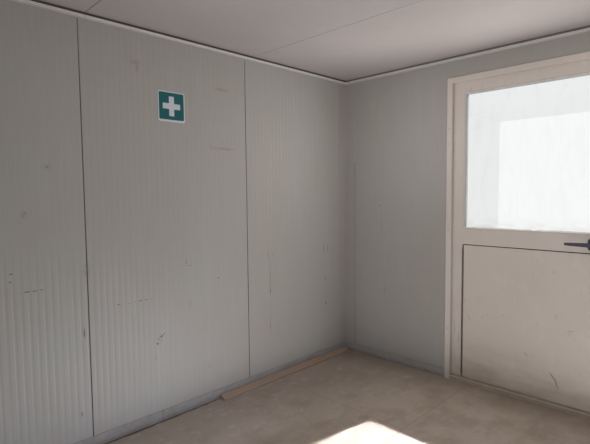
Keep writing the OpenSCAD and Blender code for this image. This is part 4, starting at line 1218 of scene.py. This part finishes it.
def makeFoamEnds():
    s = metres(foam)
    low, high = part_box("left_panel_3")
    wide, fold, t = high.x - low.x, s.fold, s.thick
    near, far = (wide - s.grooveWide) / 2, (wide + s.grooveWide) / 2
    z0, z1 = low.z + s.ends, high.z - s.ends
    deep = s.grooveDeep - (low.y - cadLow.y)
    plan = [(fold, 0), (near, 0), (near, deep), (far, deep), (far, 0), (wide - fold, 0)]
    shapes = [sweep([(side * (low.x + x), low.y + y, z0) for x, y in plan], upward,
                    [(0, 0), (side * t, 0), (side * t, z1 - z0), (0, z1 - z0)]) for side in (1, -1)]
    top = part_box("left_panel_1")[1].z + wide
    low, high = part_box("roof_panel_3")
    half = (high.x - low.x) / 2 - fold
    end = facing((0, low.y, 0), inward)
    shapes.append(plate(end, -half, half, ceilingZ + fold / 2, top - fold / 2, t))
    makePiece("foamEnds", joined(shapes), "puFoam")


# Screws outside: roof ribs, corner posts, eaves rail and base rails
outside = {
    "roofHead": (8, 16, 5), "roofRows": (-1557, -780, 0, 780, 1557),
    "postHead": (8, 14, 5), "postPitch": 420, "postIn": 70, "postEnds": (150, 120),
    "eavesPitch": 560, "eavesEnds": 100, "eavesUp": 30,
    "baseHead": (18, 28, 10), "baseUp": (45, 95), "baseEnds": (80, 120),
}
roofRibs = 11


def makeOutsideScrews():
    s = metres(outside)
    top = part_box("roof_panel_3")[1].z
    step = (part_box("roof_panel_1")[1].y - cadLow.y) / (roofRibs + 1)
    spots = [((x, cadLow.y + k * step, top), upward) for k in range(1, roofRibs + 1) for x in s.roofRows]
    placeHeads("roofScrews", hexHead(*s.roofHead), spots, 21)

    low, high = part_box("corner_post_left")
    foot, head = s.postEnds
    inset = s.postIn
    spots = []
    for point in spaced((0, 0, low.z + foot), (0, 0, high.z - head), s.postPitch):
        for side in (1, -1):
            spots.append(((side * low.x, high.y - inset, point.z), (-side, 0, 0)))
            spots.append(((side * (low.x + inset), high.y, point.z), outward))
    x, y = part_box("eaves_rail_left")[0].x + s.eavesEnds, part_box("eaves_rail_door")[1].y
    z = ceilingZ + s.eavesUp
    spots += [(point, outward) for point in spaced((x, y, z), (-x, y, z), s.eavesPitch)]
    placeHeads("frameworkScrews", hexHead(*s.postHead), spots, 22)

    low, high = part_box("base_rail_left")
    near, far = s.baseEnds
    spots = []
    for y in (cadLow.y + near, 0.0, high.y - far):
        for z in s.baseUp:
            spots += bothSides((low.x, y, z), toLeft)
    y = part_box("base_rail_door")[1].y
    spots += [((x, y, z), outward) for x in (low.x + far, -low.x - far) for z in s.baseUp]
    placeHeads("baseBolts", hexHead(*s.baseHead), spots, 23, material="base_steel")


# Flush screws in the floor sheets over the joists, and old nails in the batten, whose heads are
# given as radii and heights
floorScrews = {"head": (8, 0.5), "inset": 45, "pitch": 300, "sunk": 0.2, "joistWide": 50, "end": 30,
               "nails": (200, 750, 1250), "nailIn": 4,
               "nailHead": ((2.6, -0.4), (2.8, 0.5), (2.4, 0.9), (0.3, 1.0))}
joistCount = 10


def makeFloorScrews():
    s = metres(floorScrews)
    low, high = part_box("floor_boards")
    joistLow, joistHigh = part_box("floor_joists")
    step = (joistHigh.y - joistLow.y - s.joistWide) / (joistCount - 1)
    z, edge = high.z - s.sunk, s.inset
    spots = []
    for k in range(joistCount):
        y = joistHigh.y - s.joistWide / 2 - k * step
        if joistLow.y + s.end < y:
            row = spaced((low.x + edge, y, z), (high.x - edge, y, z), s.pitch)
            spots += [(point, upward) for point in row]
    placeHeads("floorScrews", crossHead(*s.head), spots, 31, material="floor_board")
    low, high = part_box("floor_batten")
    spots = [((low.x + s.nailIn, high.y - y, high.z), upward) for y in s.nails]
    placeHeads("battenNails", lathe(s.nailHead, 14), spots, 32, material="rustyIron")


makeFoamEnds()
makeOutsideScrews()
makeFloorScrews()
print("stage 10: open ends, outside screws and floor screws")


# Camera at the photograph's place: radians left of +Y, below the horizon, and rolled
photoCamera = {"place": (1.0884, -1.6142, 1.5833), "yaw": 0.7838, "pitch": 0.0638,
               "roll": -0.0104, "lens": 27.93, "sensor": 36.0}


def makeCamera():
    s = photoCamera
    yaw, pitch, roll = s["yaw"], s["pitch"], s["roll"]
    ahead = Vector((-math.sin(yaw) * math.cos(pitch), math.cos(yaw) * math.cos(pitch), -math.sin(pitch)))
    level = Vector((math.cos(yaw), math.sin(yaw), 0))
    above = level.cross(ahead)
    right = math.cos(roll) * level + math.sin(roll) * above
    up = -math.sin(roll) * level + math.cos(roll) * above
    data = bpy.data.cameras.new("photoCamera")
    data.lens = s["lens"]
    data.sensor_width = s["sensor"]
    data.sensor_fit = "HORIZONTAL"
    data.clip_start = 0.02
    eye = bpy.data.objects.new("photoCamera", data)
    bpy.context.scene.collection.objects.link(eye)
    eye.matrix_world = Matrix.Translation(s["place"]) @ Matrix((right, up, -ahead)).transposed().to_4x4()
    bpy.context.scene.camera = eye


# Soft lamps inside the room, three outside, and a plain pale sky. A lamp with a radius is a soft
# ball, and sunBeam is the sun through the door's glass, nearly parallel, for the patch on the floor
lamps = {
    "doorGlow": {"place": (0.0, 1.64, 1.7), "aim": (0.0, -1.5, 1.6), "size": (0.8, 1.0), "watts": 11.0},
    "bounceRight": {"place": (0.85, 0.6, 0.17), "aim": (0.85, 0.6, 2.5), "size": (1.2, 1.6), "watts": 8.5},
    "bounceLeft": {"place": (-0.6, 0.3, 0.17), "aim": (-0.6, 0.3, 2.5), "size": (1.4, 2.0), "watts": 6.2},
    "wallLow": {"place": (-0.75, -0.6, 0.42), "aim": (-1.52, -0.6, 0.72), "size": (1.9, 0.3), "watts": 3.0,
                "colour": "#e6eeff"},
    "cornerBall": {"place": (-0.75, 0.95, 1.95), "radius": 0.35, "watts": 6.2},
    "leftBall": {"place": (-0.6, -0.4, 2.1), "radius": 0.35, "watts": 2.8},
    "rightBall": {"place": (0.5, 1.05, 1.95), "radius": 0.35, "watts": 5.0},
    "lowSun": {"place": (0.51, 7.47, 8.2), "aim": (0, 1.7, 1.5), "size": (0.16, 0.16), "watts": 700,
               "colour": "#fff8ec"},
    "sunBeam": {"place": (0.0717, 2.1576, 2.3335), "aim": (0.0, 1.71, 1.8), "size": (0.86, 0.76),
                "spread": 1.0, "watts": 7.4, "colour": "#f4f2ff",
                "fallsOn": ("floor_boards", "floorJointDust", "floorScrews", "glassGaskets", "glassSpacer")},
    "outsideKey": {"place": (-3.5, -4.5, 9.0), "aim": (0, 0, 1.2), "size": (4, 4), "watts": 144},
}
lampColour = "#fbfaff"
sky = {"colour": "#e9ecef", "strength": 0.3, "seen": "#ffffff"}


# 1 for rays that the eye follows: straight, by a reflection or through the glass
def seenRays(tree):
    path = addNode(tree, "LightPath").outputs
    seen = path["Is Camera Ray"]
    for ray in ("Is Glossy Ray", "Is Transmission Ray"):
        seen = addNode(tree, "Math", {0: seen, 1: path[ray]}, operation="MAXIMUM")
    return seen


def makeLamp(name, lamp):
    data = bpy.data.lights.new(name, "POINT" if "radius" in lamp else "AREA")
    if "radius" in lamp:
        data.shadow_soft_size = lamp["radius"]
    else:
        data.shape = "RECTANGLE"
        data.size, data.size_y = lamp["size"]
        data.spread = math.radians(lamp.get("spread", 180))
    data.energy = lamp["watts"]
    data.color = linearHex(lamp.get("colour", lampColour))[:3]
    light = bpy.data.objects.new(name, data)
    bpy.context.scene.collection.objects.link(light)
    light.location = lamp["place"]
    aim = Vector(lamp.get("aim", (0, 0, 0))) - Vector(lamp["place"])
    light.rotation_euler = aim.to_track_quat("-Z", "Y").to_euler()
    for ray in ("camera", "glossy", "transmission"):
        setattr(light, "visible_" + ray, False)
    if "fallsOn" in lamp:
        lit = bpy.data.collections.new(name + "FallsOn")
        for piece in lamp["fallsOn"]:
            lit.objects.link(nodes.get(piece) or bpy.data.objects[piece])
        light.light_linking.receiver_collection = lit


def makeSky():
    world = bpy.data.worlds.new("paleSky")
    bpy.context.scene.world = world
    world.use_nodes = True
    tree = world.node_tree
    tree.nodes.clear()
    lit = addNode(tree, "Background", {"Color": linearHex(sky["colour"]), "Strength": sky["strength"]})
    shown = addNode(tree, "Background", {"Color": linearHex(sky["seen"]), "Strength": 1.0})
    mixed = addNode(tree, "MixShader", {0: seenRays(tree), 1: lit, 2: shown})
    addNode(tree, "OutputWorld", {"Surface": mixed})


# Plain pale floor outside. Part of it is seen at its own paleness wherever the lamps fall off,
# and the rest is lit, so that the shadow stays.
ground = {"half": 14.0, "base": "#dcdcda", "patches": "#d3d3d1", "seen": "#eeeeec", "share": 0.5, "down": 0.5}


def makeGround():
    mesh = bpy.data.meshes.new("paleGround")
    h = ground["half"]
    mesh.from_pydata([(x, y, 0) for x, y in rectangle(-h, h, -h, h)], [], [(0, 1, 2, 3)])
    plane = bpy.data.objects.new("paleGround", mesh)
    bpy.context.scene.collection.objects.link(plane)
    plane.location.z = cadLow.z - ground["down"] * mm
    material = finish("paleGround", {
        "base": ground["base"], "shader": {"IOR": 1.45, "Specular IOR Level": 0.2},
        "layers": [layer(ground["patches"], 0.3, 900, (0.4, 0.7))],
        "rough": (0.8, 0.95), "patchMm": 500, "grainMm": 20, "grainDepth": 0.1})
    tree = material.node_tree
    share = addNode(tree, "Math", {0: seenRays(tree), 1: ground["share"]}, operation="MULTIPLY")
    pale = addNode(tree, "Emission", {"Color": linearHex(ground["seen"]), "Strength": 1.0})
    mixed = addNode(tree, "MixShader", {0: share, 1: tree.nodes["Principled BSDF"], 2: pale})
    tree.links.new(mixed.outputs[0], tree.nodes["Material Output"].inputs["Surface"])
    mesh.materials.append(material)


makeCamera()
for name, lamp in lamps.items():
    makeLamp(name, lamp)
makeSky()
makeGround()
bpy.context.scene.view_settings.view_transform = "Standard"
print("stage 11: camera, lights and ground")
